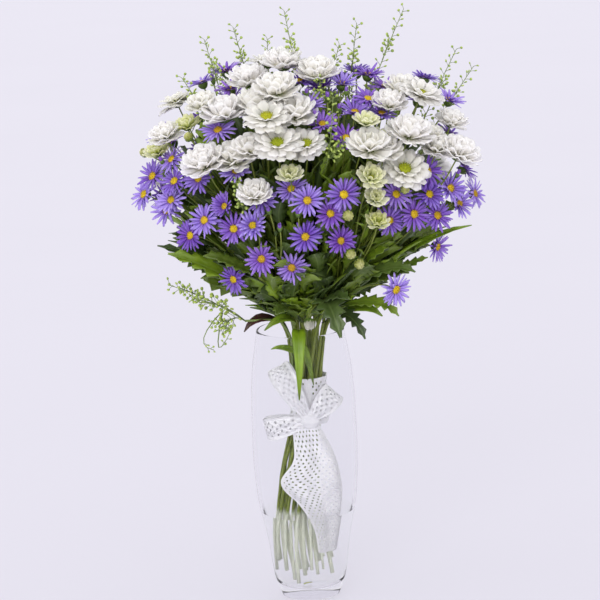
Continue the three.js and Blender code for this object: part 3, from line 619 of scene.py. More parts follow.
class Master:
    """A finished shape, kept as its points and faces, to be laid along paths."""

    def __init__(self, piece, round_shape=False):
        mesh = piece.data
        count = len(mesh.vertices)
        self.points = np.empty(count * 3)
        mesh.vertices.foreach_get("co", self.points)
        self.points = self.points.reshape(count, 3)
        self.corners = np.empty(len(mesh.loops), dtype=np.int64)
        mesh.loops.foreach_get("vertex_index", self.corners)
        self.starts = np.empty(len(mesh.polygons), dtype=np.int64)
        mesh.polygons.foreach_get("loop_start", self.starts)
        x, y, z = self.points.T
        across = np.arctan2(z, x) / (2 * np.pi) + 0.5 if round_shape else x + 0.5
        self.pattern = np.stack([across, y], axis=1)[self.corners]
        bpy.data.objects.remove(piece)


def leaf_sheet(name, rows, across, fold, thickness):
    """A blade: a grid whose rows are drawn in to their widths and whose sides are folded up."""
    along = len(rows) - 1
    add = bpy.ops.mesh.primitive_grid_add
    squares = {"x_subdivisions": across, "y_subdivisions": along}
    piece = primitive(name, add, size=1, location=(0, 0.5, 0), **squares)
    bpy.ops.object.transform_apply()
    editing()
    for index, (width, forward) in enumerate(rows):
        level = index / along
        chosen(lambda co: abs(co.y - level) < 0.01)
        bpy.ops.transform.resize(value=(width, 1, 1), center_override=(0, level, 0))
        if forward:
            chosen(lambda co: abs(co.y - level) < 0.01 and abs(co.x) > 0.49 * width)
            bpy.ops.transform.translate(value=(0, forward, 0))
    for side in range(1, across // 2 + 1):
        limit = (side - 0.5) / across
        chosen(lambda co: abs(co.x) > limit * 0.35)
        bpy.ops.transform.translate(value=(0, 0, fold / across * 2))
    bpy.ops.object.mode_set(mode="OBJECT")
    applied(piece, "SOLIDIFY", thickness=thickness, offset=-1)
    return Master(piece)


def round_rod(name, sides, rings):
    add = bpy.ops.mesh.primitive_cylinder_add
    lying = (-math.pi / 2, 0, 0)
    piece = primitive(name, add, vertices=sides, radius=1, depth=1, rotation=lying)
    bpy.ops.object.transform_apply()
    editing()
    bpy.ops.mesh.select_all(action="SELECT")
    bpy.ops.transform.translate(value=(0, 0.5, 0))
    for ring in range(1, rings):
        bpy.ops.mesh.select_all(action="SELECT")
        bpy.ops.mesh.bisect(plane_co=(0, ring / rings, 0), plane_no=(0, 1, 0))
    bpy.ops.object.mode_set(mode="OBJECT")
    return Master(piece, round_shape=True)


def turned_shape(name, sides, profile):
    """A round shape: a disc, extruded from level to level of its profile and drawn in or out."""
    radius, level = profile[0]
    add = bpy.ops.mesh.primitive_circle_add
    place = (0, 0, level)
    piece = primitive(name, add, vertices=sides, radius=radius, fill_type="NGON", location=place)
    bpy.ops.object.transform_apply()
    editing()
    bpy.ops.mesh.select_all(action="SELECT")
    for next_radius, next_level in profile[1:]:
        rise = (0, 0, next_level - level)
        bpy.ops.mesh.extrude_region_move(TRANSFORM_OT_translate={"value": rise})
        share = next_radius / radius
        bpy.ops.transform.resize(value=(share, share, 1), center_override=(0, 0, next_level))
        radius, level = next_radius, next_level
    bpy.ops.mesh.select_all(action="SELECT")
    bpy.ops.mesh.normals_make_consistent(inside=False)
    bpy.ops.object.mode_set(mode="OBJECT")
    return piece


def upright_master(name, sides, profile):
    piece = turned_shape(name, sides, profile)
    piece.rotation_euler = (-math.pi / 2, 0, 0)
    alone(piece)
    bpy.ops.object.transform_apply()
    return Master(piece, round_shape=True)


def lay(master, path, side, wide):
    """The points of a master laid along a path, its width turned to one side."""
    path = np.array([tuple(point) for point in path], dtype=float)
    along = np.gradient(path, axis=0)
    along /= np.linalg.norm(along, axis=1)[:, None]
    side = np.array(tuple(side), dtype=float)
    sides = []
    for heading in along:
        side = side - heading * np.dot(side, heading)
        side /= np.linalg.norm(side)
        sides.append(side)
    sides = np.array(sides)
    normals = np.cross(sides, along)
    at = master.points[:, 1] * (len(path) - 1)
    low = np.clip(np.floor(at).astype(int), 0, len(path) - 2)
    share = (at - low)[:, None]

    def between(rows):
        return rows[low] * (1 - share) + rows[low + 1] * share

    wide = np.broadcast_to(np.asarray(wide, dtype=float), (len(path),))
    widths = between(wide[:, None])
    x, z = master.points[:, :1], master.points[:, 2:]
    return between(path) + between(sides) * (x * widths) + between(normals) * (z * widths)


def declared(piece, slot, *nodes):
    """Says what a piece rides on and which solids it stands for; its slot, whose finish it would
    take, is not used.
    """
    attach(piece, "root")
    if nodes:
        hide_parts(*nodes)
    return piece


def shifted(lists, counts):
    """The numbered points or corners of copies, one after the other, numbered on."""
    firsts = np.concatenate([[0], np.cumsum(counts)[:-1]])
    return np.concatenate([numbers + first for numbers, first in zip(lists, firsts)])


class Bunch:
    """Copies of masters that make one piece, each with its shade, its bloom's tone and its look."""

    def __init__(self):
        self.copies = []

    def add(self, name, path, side, wide, shade=0.5, tone=0.5, look=None):
        master = masters[name]
        self.copies.append((master, lay(master, path, side, wide), shade, tone, look))

    def piece(self, name, looks, slot, *nodes):
        """Makes the piece; a copy without a look of its own has the first one."""
        used, laid, shades, tones, own_looks = zip(*self.copies)
        counts = [len(points) for points in laid]
        corners = shifted([master.corners for master in used], counts)
        starts = shifted([master.starts for master in used], [len(m.corners) for m in used])
        mesh = bpy.data.meshes.new(name)
        mesh.vertices.add(sum(counts))
        mesh.vertices.foreach_set("co", (np.concatenate(laid) * MM).ravel())
        mesh.loops.add(len(corners))
        mesh.loops.foreach_set("vertex_index", corners)
        mesh.polygons.add(len(starts))
        mesh.polygons.foreach_set("loop_start", starts)
        faces = [len(master.starts) for master in used]
        numbers = [looks.index(look or looks[0]) for look in own_looks]
        mesh.polygons.foreach_set("material_index", np.repeat(numbers, faces))
        mesh.polygons.foreach_set("use_smooth", np.ones(len(starts), dtype=bool))
        pattern = mesh.uv_layers.new(name="pattern")
        places = np.concatenate([master.pattern for master in used])
        pattern.data.foreach_set("uv", places.ravel())
        for label, values in (("shade", shades), ("tone", tones)):
            points = mesh.attributes.new(label, "FLOAT", "POINT").data
            points.foreach_set("value", np.repeat(np.array(values, dtype=float), counts))
        mesh.update(calc_edges=True)
        mesh.validate()
        made = bpy.data.objects.new(name, mesh)
        bpy.context.collection.objects.link(made)
        for look in looks:
            mesh.materials.append(finishes[look])
        return declared(made, slot, *nodes)


# ---- Finishes

UNCHANGED = (1, 1, 1)
OPENED_PETAL = [
    (0.0, (0.6, 0.64, 0.16)),
    (0.18, (0.88, 0.85, 0.62)),
    (0.42, (0.97, 0.94, 0.9)),
    (1.0, (0.985, 0.95, 0.94)),
]
YOUNG_PETAL = [(0.0, (0.3, 0.42, 0.02)), (0.45, (0.62, 0.69, 0.08)), (1.0, (0.88, 0.87, 0.27))]
DEEP_VIOLET = [(0.0, (0.12, 0.025, 0.34)), (0.4, (0.15, 0.05, 0.46)), (1.0, (0.25, 0.13, 0.64))]
LIGHT_VIOLET = [(0.0, (0.28, 0.15, 0.62)), (0.4, (0.4, 0.27, 0.82)), (1.0, (0.52, 0.41, 0.92))]
ROSY_VIOLET = (0.24, 0.06, 0.5)
LEAF_SHADES = [
    (0.0, (0.07, 0.02, 0.025)),
    (0.1, (0.034, 0.055, 0.022)),
    (0.35, (0.075, 0.12, 0.026)),
    (0.65, (0.15, 0.22, 0.022)),
    (1.0, (0.24, 0.38, 0.014)),
]
LEAF_RIB = (0.24, 0.33, 0.1)
# Painted light: the stems are drawn pale under the water, where the water and glass make them look
# light
UNDERWATER_PAINTED_LIGHT = [(0.2, (0.64, 0.67, 0.54)), (0.75, (0.82, 0.84, 0.72))]
UNDERWATER_LIGHT_EDGE = (0.094, 0.101)


def fill(tree, node, inputs):
    """Gives inputs of a node their values, or links them to other nodes."""
    for label, value in inputs.items():
        socket = node.inputs[label]
        if isinstance(value, bpy.types.NodeSocket):
            tree.links.new(value, socket)
        else:
            socket.default_value = (*value, 1) if socket.type == "RGBA" else value
    return node


def added(tree, kind, inputs, **settings):
    node = tree.nodes.new(f"ShaderNode{kind}")
    for name, value in settings.items():
        setattr(node, name, value)
    return fill(tree, node, inputs)


def pattern_group(name, make_pattern, **inputs):
    """A node group with named inputs that puts out a pattern as a value and as a normal."""
    group = bpy.data.node_groups.new(name, "ShaderNodeTree")
    for label, value in {**inputs, "Depth": 0.3, "Distance": 0.0004}.items():
        socket = group.interface.new_socket(label, in_out="INPUT", socket_type="NodeSocketFloat")
        socket.default_value = value
    for label, kind in (("Value", "NodeSocketFloat"), ("Normal", "NodeSocketVector")):
        group.interface.new_socket(label, in_out="OUTPUT", socket_type=kind)
    given = group.nodes.new("NodeGroupInput").outputs
    place = added(group, "TexCoord", {}).outputs["Object"]
    value, height = make_pattern(group, given, place)
    inputs = {"Strength": given["Depth"], "Distance": given["Distance"], "Height": height}
    bump = added(group, "Bump", inputs)
    fill(group, group.nodes.new("NodeGroupOutput"), {"Value": value, "Normal": bump.outputs[0]})
    return group


def veins(group, given, place):
    """Fine lines that run along a petal or leaf."""
    pattern = added(group, "UVMap", {}, uv_map="pattern").outputs["UV"]
    grooves = {"Vector": pattern, "Scale": given["Lines"], "Distortion": 1.5, "Detail": 2.0}
    wave = added(group, "TexWave", grooves)
    noise = added(group, "TexNoise", {"Vector": place, "Scale": 130.0, "Detail": 3.0})
    inputs = {"Factor": given["Unevenness"], "A": wave.outputs["Fac"], "B": noise.outputs["Fac"]}
    blend = added(group, "Mix", inputs)
    return blend.outputs["Result"], blend.outputs["Result"]


def mottles(group, given, place):
    """Uneven patches of colour, and fine grain in height."""
    patches = {"Vector": place, "Scale": given["Patches"], "Detail": 4.0}
    grain = {"Vector": place, "Scale": given["Grain"], "Detail": 2.0}
    return [added(group, "TexNoise", inputs).outputs["Fac"] for inputs in (patches, grain)]


class Finish:
    """A material under way: its shader, and the pattern that gives its grain and its bump."""

    def __init__(self, name, roughness, group, values, sockets=()):
        self.material = bpy.data.materials.new(name)
        self.material.use_nodes = True
        self.tree = self.material.node_tree
        self.shader = self.tree.nodes["Principled BSDF"]
        fill(self.tree, self.shader, {"Roughness": roughness, **dict(sockets)})
        self.grain, self.normal = self.pattern(group, values)

    def node(self, kind, output, inputs, **settings):
        return added(self.tree, kind, inputs, **settings).outputs[output]

    def pattern(self, group, values):
        node = added(self.tree, "Group", values, node_tree=group)
        return node.outputs["Value"], node.outputs["Normal"]

    def ramp(self, source, stops):
        node = added(self.tree, "ValToRGB", {"Fac": source})
        while len(node.color_ramp.elements) < len(stops):
            node.color_ramp.elements.new(0.5)
        for element, (place, color) in zip(node.color_ramp.elements, stops):
            element.position = place
            element.color = (*color, 1)
        return node.outputs["Color"]

    def attribute(self, name):
        return self.node("Attribute", "Fac", {}, attribute_name=name)

    def along(self, axis="Y"):
        """How far a place is along a petal, leaf or stem, or across it."""
        place = self.node("UVMap", "UV", {}, uv_map="pattern")
        return self.node("SeparateXYZ", axis, {"Vector": place})

    def height(self):
        place = self.node("TexCoord", "Object", {})
        return self.node("SeparateXYZ", "Z", {"Vector": place})

    def between(self, source, low, high, to_low, to_high):
        ends = {"From Min": low, "From Max": high, "To Min": to_low, "To Max": to_high}
        return self.node("MapRange", "Result", {"Value": source, **ends})

    def mixed(self, factor, one, other, blend="MIX"):
        inputs = {0: factor, 6: one, 7: other}
        return self.node("Mix", 2, inputs, data_type="RGBA", blend_type=blend)

    def grained(self, color, share, stops, grain=None):
        """A colour with the pattern's light and dark laid over it."""
        over = self.ramp(self.grain if grain is None else grain, stops)
        return self.mixed(share, color, over, "MULTIPLY")

    def done(self, color):
        fill(self.tree, self.shader, {"Base Color": color, "Normal": self.normal})
        return self.material


def let_through(weight, colors, depth):
    """How far light spreads inside something thin: a share for each colour, a depth in metres."""
    return {"Subsurface Weight": weight, "Subsurface Radius": colors, "Subsurface Scale": depth}


def lines(count, unevenness, depth, **others):
    return {"Lines": count, "Unevenness": unevenness, "Depth": depth, **others}


def spots(patches, grain, depth, **others):
    return {"Patches": patches, "Grain": grain, "Depth": depth, **others}


def white_petal_finish():
    soft = let_through(0.7, (1, 0.96, 0.93), 0.012)
    finish = Finish("white_petals", 0.6, veined, lines(5.0, 0.35, 0.08), soft)
    opened = finish.ramp(finish.along(), OPENED_PETAL)
    young = finish.ramp(finish.along(), YOUNG_PETAL)
    color = finish.mixed(finish.attribute("tone"), opened, young)
    return finish.done(finish.grained(color, 0.6, [(0.2, (0.95, 0.945, 0.93)), (0.7, UNCHANGED)]))


def violet_petal_finish():
    soft = let_through(0.1, (0.7, 0.5, 1), 0.002)
    finish = Finish("violet_petals", 0.5, veined, lines(3.0, 0.4, 0.3), soft)
    deep = finish.ramp(finish.along(), DEEP_VIOLET)
    light = finish.ramp(finish.along(), LIGHT_VIOLET)
    color = finish.mixed(finish.attribute("shade"), deep, light)
    color = finish.grained(color, 0.8, [(0.25, (0.8, 0.76, 0.88)), (0.7, UNCHANGED)])
    rosy = finish.between(finish.attribute("tone"), 0.5, 1.0, 0.0, 0.55)
    return finish.done(finish.mixed(rosy, color, ROSY_VIOLET))


def disc_finish(name, fresh, old):
    finish = Finish(name, 0.75, mottled, spots(700.0, 2600.0, 0.5))
    color = finish.mixed(finish.attribute("tone"), fresh, old)
    return finish.done(finish.grained(color, 0.8, [(0.35, (0.6, 0.55, 0.45)), (0.6, UNCHANGED)]))


def leaf_finish():
    soft = let_through(0.08, (0.5, 1, 0.2), 0.002)
    finish = Finish("leaves", 0.42, veined, lines(2.2, 0.6, 0.5, Distance=0.0006), soft)
    patches, _ = finish.pattern(mottled, {"Patches": 45.0})
    color = finish.ramp(finish.attribute("shade"), LEAF_SHADES)
    stops = [(0.3, (0.6, 0.65, 0.5)), (0.65, (1.15, 1.12, 1))]
    color = finish.grained(color, 0.85, stops, patches)
    side = finish.between(finish.along("X"), 0.0, 1.0, -1.0, 1.0)
    aside = finish.node("Math", 0, {0: side}, operation="ABSOLUTE")
    rib = finish.between(aside, 0.02, 0.07, 0.3, 0.0)
    return finish.done(finish.mixed(rib, color, LEAF_RIB))


def stem_finish(name, grooves, dark, light):
    """A stem's finish, with painted light: paler where it stands in the water."""
    finish = Finish(name, 0.5, veined, grooves)
    dry = finish.ramp(finish.grain, [(0.2, dark), (0.75, light)])
    # painted light: the pale colour of the stems under the water, not their own colour
    painted_light = finish.ramp(finish.grain, UNDERWATER_PAINTED_LIGHT)
    in_water = finish.between(finish.height(), *UNDERWATER_LIGHT_EDGE, 1.0, 0.0)
    return finish.done(finish.mixed(in_water, dry, painted_light))


def green_finish(name, roughness, patches, foot, tip, stops, soft=()):
    """A green that changes from foot to tip, with uneven patches."""
    finish = Finish(name, roughness, mottled, spots(patches, 1500.0, 0.3), soft)
    color = finish.ramp(finish.along(), [(0.0, foot), (1.0, tip)])
    return finish.done(finish.grained(color, 0.8, stops))


def lace_finish():
    finish = Finish("lace", 0.85, mottled, spots(90.0, 1800.0, 0.5))
    weave = {"Vector": finish.node("TexCoord", "Object", {}), "Scale": 260.0, "Distortion": 1.0}
    woven = finish.node("TexWave", "Fac", weave)
    cloudy = finish.ramp(finish.grain, [(0.3, (0.8, 0.795, 0.82)), (0.6, (0.88, 0.87, 0.885))])
    threads = [(0.0, (0.9, 0.9, 0.92)), (1.0, UNCHANGED)]
    return finish.done(finish.grained(cloudy, 0.7, threads, woven))


def slightly_uneven(finish, color):
    return finish.ramp(finish.grain, [(0.3, color), (0.7, tuple(min(c * 1.01, 1) for c in color))])


def clear_finish(name, bending, color):
    marks = spots(14.0, 30.0, 0.02, Distance=0.002)
    clear = {"Transmission Weight": 1.0, "IOR": bending}
    finish = Finish(name, 0.0, mottled, marks, clear)
    return finish.done(slightly_uneven(finish, color))


# ---- Jar and water


def outside_radius(level):
    """The jar's outer radius at a height, on a smooth curve through its widths."""
    widths, levels = zip(*JAR_OUTSIDE)
    slopes = np.gradient(widths, levels)
    index = int(np.clip(np.searchsorted(levels, level) - 1, 0, len(levels) - 2))
    step = levels[index + 1] - levels[index]
    t = (level - levels[index]) / step
    low = (2 * t**3 - 3 * t**2 + 1) * widths[index]
    low += (t**3 - 2 * t**2 + t) * step * slopes[index]
    high = (3 * t**2 - 2 * t**3) * widths[index + 1] + (t**3 - t**2) * step * slopes[index + 1]
    return float(low + high)


def outer_wall(start, end, rows):
    return [(outside_radius(level), level) for level in np.linspace(start, end, rows)]


def inside_profile(end, grow, rows):
    """The inside from the middle of the floor to the end of the wall, moved out by a little."""
    floor = JAR_FLOOR - grow
    corner = outside_radius(JAR_FLOOR) - JAR_WALL + grow - CORNER
    bend = [
        (corner + CORNER * math.sin(a), floor + CORNER - CORNER * math.cos(a)) for a in (0.5, 1.0)
    ]
    walls = outer_wall(JAR_FLOOR + CORNER + 1, end, rows)
    walls = [(radius - JAR_WALL + grow, level) for radius, level in walls]
    return [(AXIS_GAP, floor), (corner, floor), *bend, *walls]


def smoothed(piece):
    alone(piece)
    bpy.ops.object.shade_smooth_by_angle(angle=math.radians(40))
    return piece


def clear_piece(name, profile, finish, slot, node):
    metres = [(radius * MM, level * MM) for radius, level in profile]
    piece = turned_shape(name, JAR_AROUND, metres)
    piece.data.materials.append(finish)
    declared(smoothed(piece), slot, node)


def jar():
    foot = outside_radius(0)
    edge = outside_radius(WALL_END) - LIP
    turns = (0.0, 0.8, 1.57, 2.34, 3.14)
    profile = [
        (foot - FOOT_ROUNDING, 0),
        (foot - FOOT_ROUNDING * 0.4, FOOT_ROUNDING * 0.15),
        (outside_radius(FOOT_ROUNDING), FOOT_ROUNDING * 0.8),
        *outer_wall(WALL_START, WALL_END, JAR_ROWS),
        *[(edge + LIP * math.cos(a), JAR_HEIGHT - LIP + LIP * math.sin(a)) for a in turns],
        *inside_profile(INSIDE_END, 0, JAR_ROWS)[::-1],
    ]
    finish = clear_finish("jar_glass", GLASS_BENDING, GLASS_TINT)
    clear_piece("glass_jar", profile, finish, "jar_glass", "jar")


def water():
    profile = [*inside_profile(WATER_LEVEL, WATER_OVERLAP, WATER_ROWS), (AXIS_GAP, WATER_LEVEL)]
    finish = clear_finish("water_clear", WATER_BENDING, WATER_TINT)
    clear_piece("vase_water", profile, finish, "water", "water")


# ---- Blooms

# Rings of petals: how many, start and rise at the middle, length, first and last tilt, and width,
# as shares of the bloom's radius
WHITE_RINGS = {
    "open": [
        (13, 0.14, -0.04, 0.92, (16, -8), 0.5),
        (12, 0.14, 0.0, 0.84, (30, 6), 0.47),
        (8, 0.16, 0.03, 0.62, (50, 34), 0.4),
    ],
    "cupped": [
        (12, 0.1, -0.06, 0.98, (10, 26), 0.57),
        (10, 0.1, 0.0, 0.94, (30, 47), 0.57),
        (8, 0.1, 0.04, 0.84, (50, 68), 0.55),
        (5, 0.08, 0.06, 0.66, (66, 92), 0.52),
    ],
    "full": [
        (13, 0.1, -0.04, 0.95, (12, -4), 0.5),
        (12, 0.09, 0.02, 0.86, (26, 6), 0.48),
        (9, 0.09, 0.05, 0.7, (42, 24), 0.42),
        (7, 0.1, 0.07, 0.46, (62, 60), 0.36),
    ],
    "half": [
        (10, 0.14, -0.08, 0.96, (28, 30), 0.5),
        (8, 0.14, 0.0, 0.82, (48, 54), 0.48),
        (6, 0.14, 0.03, 0.6, (64, 78), 0.4),
    ],
}
MIDDLE_SHARE = {"open": 0.26, "cupped": 0.16, "full": 0.17, "half": 0.2}
VIOLET_RINGS = [
    (17, 0.18, -0.03, 0.84, (16, -6), 0.175),
    (15, 0.17, 0.02, 0.78, (28, 10), 0.16),
]
BUD_RINGS = [(9, 0.75, -0.5, 1.5, (66, 150), 0.62), (6, 0.62, -0.2, 1.3, (72, 150), 0.56)]
VIOLET_BUD_RING = [(11, 0.3, -0.4, 1.3, (84, 96), 0.3)]
PETAL_STEPS = {"white_petal": 5, "violet_petal": 4}
# How much each petal may differ: its turn, tilt, curl, length, roll, shade and width
PETAL_SWAY = (0.45, 5.5, 7, 0.05, 0.2, 0.12, 0.08)
# The middle of a bloom: the button's height and width, and the florets' number, length and width
BUTTON = (0.45, 0.96)
FLORETS = 30
FLORET = (0.3, 0.13)
# Cups: width and depth as shares of the bloom, and how many scales
CUPS = {"white": (0.13, 0.11, 10), "purple": (0.14, 0.2, 12)}
CUP_SINK = 0.02
# How far the petals of an aster stand up, and how often
ASTER_OPENINGS = {-4: 0.2, 0: 0.35, 6: 0.25, 18: 0.14, 34: 0.06}


def petal_path(bloom, turn, start, rise, length, tilts, steps):
    """A petal's middle line, from near the bloom's middle outwards, and its side."""
    facing = bloom["facing"]
    outward = around(facing, turn)
    point = bloom["place"] + outward * start + facing * rise
    path = [point]
    for step in range(steps):
        tilt = math.radians(tilts[0] + (tilts[1] - tilts[0]) * (step + 0.5) / steps)
        point = point + (outward * math.cos(tilt) + facing * math.sin(tilt)) * (length / steps)
        path.append(point)
    return path, facing.cross(outward)


def add_petals(bunch, bloom, rings, master, jitter, opening, tone):
    radius = bloom["size"] / 2
    by_turn, by_tilt, by_curl, by_length, by_roll, by_shade, by_width = PETAL_SWAY
    for layer, (petals, start, rise, long, (first, last), width) in enumerate(rings):
        for number in range(petals):
            turn = 2 * math.pi * (number + layer * 0.5) / petals + math.radians(bloom["roll"])
            turn += swayed(jitter * by_turn / petals)
            lift = opening + swayed(by_tilt * jitter)
            tilts = (first + lift, last + lift + swayed(by_curl * jitter))
            length = radius * long * (1 + swayed(by_length * jitter))
            place = (start * radius, rise * radius, length, tilts, PETAL_STEPS[master])
            path, side = petal_path(bloom, turn, *place)
            side = side + bloom["facing"] * swayed(by_roll * jitter)
            shade = kept(swayed(by_shade, bloom.get("shade", 0.5)))
            bunch.add(master, path, side, radius * width * (1 + swayed(by_width)), shade, tone)


def add_disc(bunch, bloom, share, rise, tone, look):
    """The middle of a bloom: a low button set with small florets in spirals."""
    radius = bloom["size"] / 2 * share
    facing = bloom["facing"]
    side = acrossing(facing)
    foot = bloom["place"] + facing * (rise * bloom["size"] / 2)
    top = foot + facing * radius * BUTTON[0]
    bunch.add("button", [foot, top], side, radius * BUTTON[1], 0.4, tone, look)
    for number in range(FLORETS):
        out = math.sqrt((number + 0.5) / FLORETS)
        outward = around(facing, number * GOLDEN_ANGLE)
        dome = facing * (radius * 0.38 * math.cos(out * 1.2))
        start = foot + outward * (out * radius * 0.94) + dome
        tip = start + (facing + outward * out * 0.7).normalized() * (radius * FLORET[0])
        bunch.add("floret", [start, tip], side, radius * FLORET[1], drawn(0.2, 1), tone, look)


def add_cup(bunch, bloom, wide, deep, scales):
    """The green cup below a bloom, with its narrow scales."""
    facing = bloom["facing"]
    top = bloom["place"] + facing * (-CUP_SINK * bloom["size"])
    foot = top - facing * deep
    bunch.add("cup", [foot, top], acrossing(facing), wide, look="cup")
    for number in range(scales):
        outward = around(facing, 2 * math.pi * number / scales)
        start = foot + outward * wide * 0.5 + facing * deep * 0.1
        bend = foot + outward * wide * 1.12 + facing * deep * 0.5
        tip = top + outward * wide * (1.12 + drawn(0, 0.3)) + facing * drawn(-0.5, 1)
        path = curve(start, bend, tip, 3)
        bunch.add("slim", path, facing.cross(outward), wide * 0.42, 0.4, look="cup")


def add_white_bloom(bunch, bloom):
    young = bloom["size"] < YOUNG_SIZE
    tone = kept(0.75 + swayed(0.12)) if young else kept(swayed(0.05, 0.04), 0, 0.15)
    form = "half" if young else bloom.get("form", "full")
    add_petals(bunch, bloom, WHITE_RINGS[form], "white_petal", 0.7, swayed(5), tone)
    add_disc(bunch, bloom, MIDDLE_SHARE[form], 0.05, drawn(0.2, 0.8), "white_disc")


# ---- Leaves and stems


def add_leaf(bunch, kind, path, wide, shade, roll=0, forward=0):
    """A leaf that faces up and out, turned about its own length by a roll or towards the front."""
    middle = path[len(path) // 2]
    outward = Vector((middle.x - FAN_POINT.x, middle.y - FAN_POINT.y, 0)).normalized()
    along = (path[-1] - path[0]).normalized()
    flat = UP.cross(outward)
    side = flat - along * flat.dot(along)
    if side.length < 0.35:
        side = along.cross(outward)
    side = Matrix.Rotation(math.radians(roll), 3, along) @ -side.normalized()
    if forward:
        front = (EYE - middle).normalized()
        normal = side.cross(along).lerp(front - along * front.dot(along), forward)
        side = along.cross(normal).normalized()
    bunch.add(kind, path, side, wide, shade)


def hand_leaves(spray):
    """The leaves that are placed one by one."""
    own = [leaf for leaf in LEAVES if leaf[0] == spray["name"]]
    for index, (_, height, bend, tip, width, kind, shade) in enumerate(own):
        path = stem_path(spray["stems"][index % 2])
        above = next(place for place in range(len(path)) if path[place].z > height)
        low, high = path[above - 1], path[above]
        start = low.lerp(high, (height - low.z) / (high.z - low.z))
        path = curve(start, Vector(bend), Vector(tip), 9)
        add_leaf(spray["greens"], kind, path, width, shade, forward=LEAF_TO_FRONT)


def inner_leaves(spray):
    """Lobed leaves round the fork of a spray."""
    axis = spray["axis"]
    count = INNER_LEAVES[spray["ring"]]
    for index in range(count):
        sideways = around(axis, (index / count + spread(spray["number"], 0, 1)) * 2 * math.pi)
        sideways.z = max(sideways.z, INNER_LEAF_RISE)
        start = joint(spray, 0.08 + 0.22 * index)
        bend = start + axis * INNER_LEAF_BEND[0] + sideways * INNER_LEAF_BEND[1]
        tip = start + axis * INNER_LEAF_END + sideways * INNER_LEAF_LENGTH
        path = curve(start, bend, tip, 8)
        shade = drawn(0.2, 0.75)
        add_leaf(spray["greens"], "lobed", path, INNER_LEAF_WIDTH, shade, roll=swayed(22))


def filling_leaves():
    """Leaves that fill the head between the stalks, below the blooms."""
    for number in range(FILLING_LEAVES):
        share = ((number + 0.5) / FILLING_LEAVES) ** FILLING_CROWDING
        heading = direction_of(number * GOLDEN_ANGLE, math.acos(1 - share * FILLING_CAP))
        limit = dome_reach(heading) - FILLING_DEPTH
        reach = max(limit * drawn(0.06, 0.97) ** (1 / 3), FILLING_NEAREST)
        length = min(drawn(*FILLING_LENGTHS), reach * FILLING_LONGEST)
        start = FAN_POINT + heading * (reach - length)
        swing = UP.cross(heading).normalized() * swayed(0.28)
        drop = -UP * drawn(-0.1, 0.3)
        tip = start + (heading + swing + drop).normalized() * length
        bend = start + (heading - swing * 0.6).normalized() * length * 0.55
        kind, width = ("filling", FILLING_WIDTH) if number % 2 else ("slim", SLIM_WIDTH)
        greens = spray_of(start.lerp(tip, 0.5))["greens"]
        shade = drawn(0.15, 0.9)
        add_leaf(greens, kind, curve(start, bend, tip, 6), length * width, shade, roll=swayed(35))


def stem_leaves(spray):
    """Narrow leaves that stand up along the stems between the jar's mouth and their joints."""
    for stem in spray["stems"]:
        path = [point for point in stem_path(stem) if point.z > JAR_HEIGHT]
        for number in range(STEM_LEAVES):
            base, along = on_path(path, (number + 0.5) / STEM_LEAVES)
            outward = around(along, number * GOLDEN_ANGLE + spray["number"])
            length = drawn(*STEM_LEAF_LENGTHS)
            bend = base + (along + outward * 0.3) * (length * 0.5)
            tip = base + (along + outward * drawn(0.1, 0.6) + UP * 0.3).normalized() * length
            wide = length * drawn(0.1, 0.2)
            shade = drawn(0.2, 0.95)
            leaf = curve(base, bend, tip, 4)
            add_leaf(spray["greens"], "slim", leaf, wide, shade, roll=swayed(40))


def add_stalk(spray, bloom, wide, deep):
    """A side stalk from the spray to the cup of a bloom, with a few narrow leaves."""
    start = joint(spray, bloom["joint"])
    foot = bloom["place"] + bloom["facing"] * (-CUP_SINK * bloom["size"] - deep)
    bend = foot - bloom["facing"] * (foot - start).length * 0.35
    path = curve(start, bend, foot, 6)
    along = (foot - start).normalized()
    radii = np.linspace(*STALK_RADII, len(path))
    spray["greens"].add("stalk", path, acrossing(along), radii, look="stem")
    for number in range(STALK_LEAVES):
        base = path[2 + number]
        turn = number * STALK_LEAF_TURN + bloom["roll"]
        sideways = Vector((math.cos(turn), math.sin(turn), 0.25))
        heading = (along * 0.8 + sideways).normalized()
        length = drawn(*STALK_LEAF_LENGTHS)
        bend = base + (heading + UP * 0.3) * length * 0.5
        leaf = curve(base, bend, base + heading * length, 4)
        add_leaf(spray["greens"], "slim", leaf, length * 0.2, drawn(0.2, 0.75))


def add_aster(violets, discs, bloom):
    age = kept(swayed(0.25, 0.12))
    bloom["shade"] = drawn(0.05, 1)
    rosy = drawn(0, 1)
    opening = float(rng.choice(list(ASTER_OPENINGS), p=list(ASTER_OPENINGS.values())))
    add_petals(violets, bloom, VIOLET_RINGS, "violet_petal", 1.5, opening, rosy)
    add_disc(discs, bloom, 0.25, 0.0, age, "aster_disc")


def spray_pieces(spray):
    """A spray's three pieces: stems with their leaves, aster petals and aster middles."""
    name, greens, violets, discs = spray["name"], spray["greens"], spray["violets"], Bunch()
    for stem in spray["stems"]:
        path = stem_path(stem)
        tapers = [STEM_TAPER if point.z > BUNDLE_TOP + 1 else 1 for point in path]
        radii = [stem["radius"] * taper for taper in tapers]
        greens.add("stem", path, beside(path), radii, look="stem")
    hand_leaves(spray)
    inner_leaves(spray)
    stem_leaves(spray)
    for bloom in spray["blooms"]:
        width, depth, scales = CUPS[bloom["kind"]]
        cup = (bloom["size"] * width, bloom["size"] * depth)
        add_stalk(spray, bloom, *cup)
        add_cup(greens, bloom, *cup, scales)
        if bloom["kind"] == "purple":
            add_aster(violets, discs, bloom)
    slot, node = "stems_leaves_and_asters", f"sprays_{name}"
    greens.piece(f"greens_{name}", ("leaf", "stem", "cup"), slot, node)
    violets.piece(f"asters_{name}", ("violet",), slot, node)
    discs.piece(f"aster_middles_{name}", ("aster_disc",), slot, node)


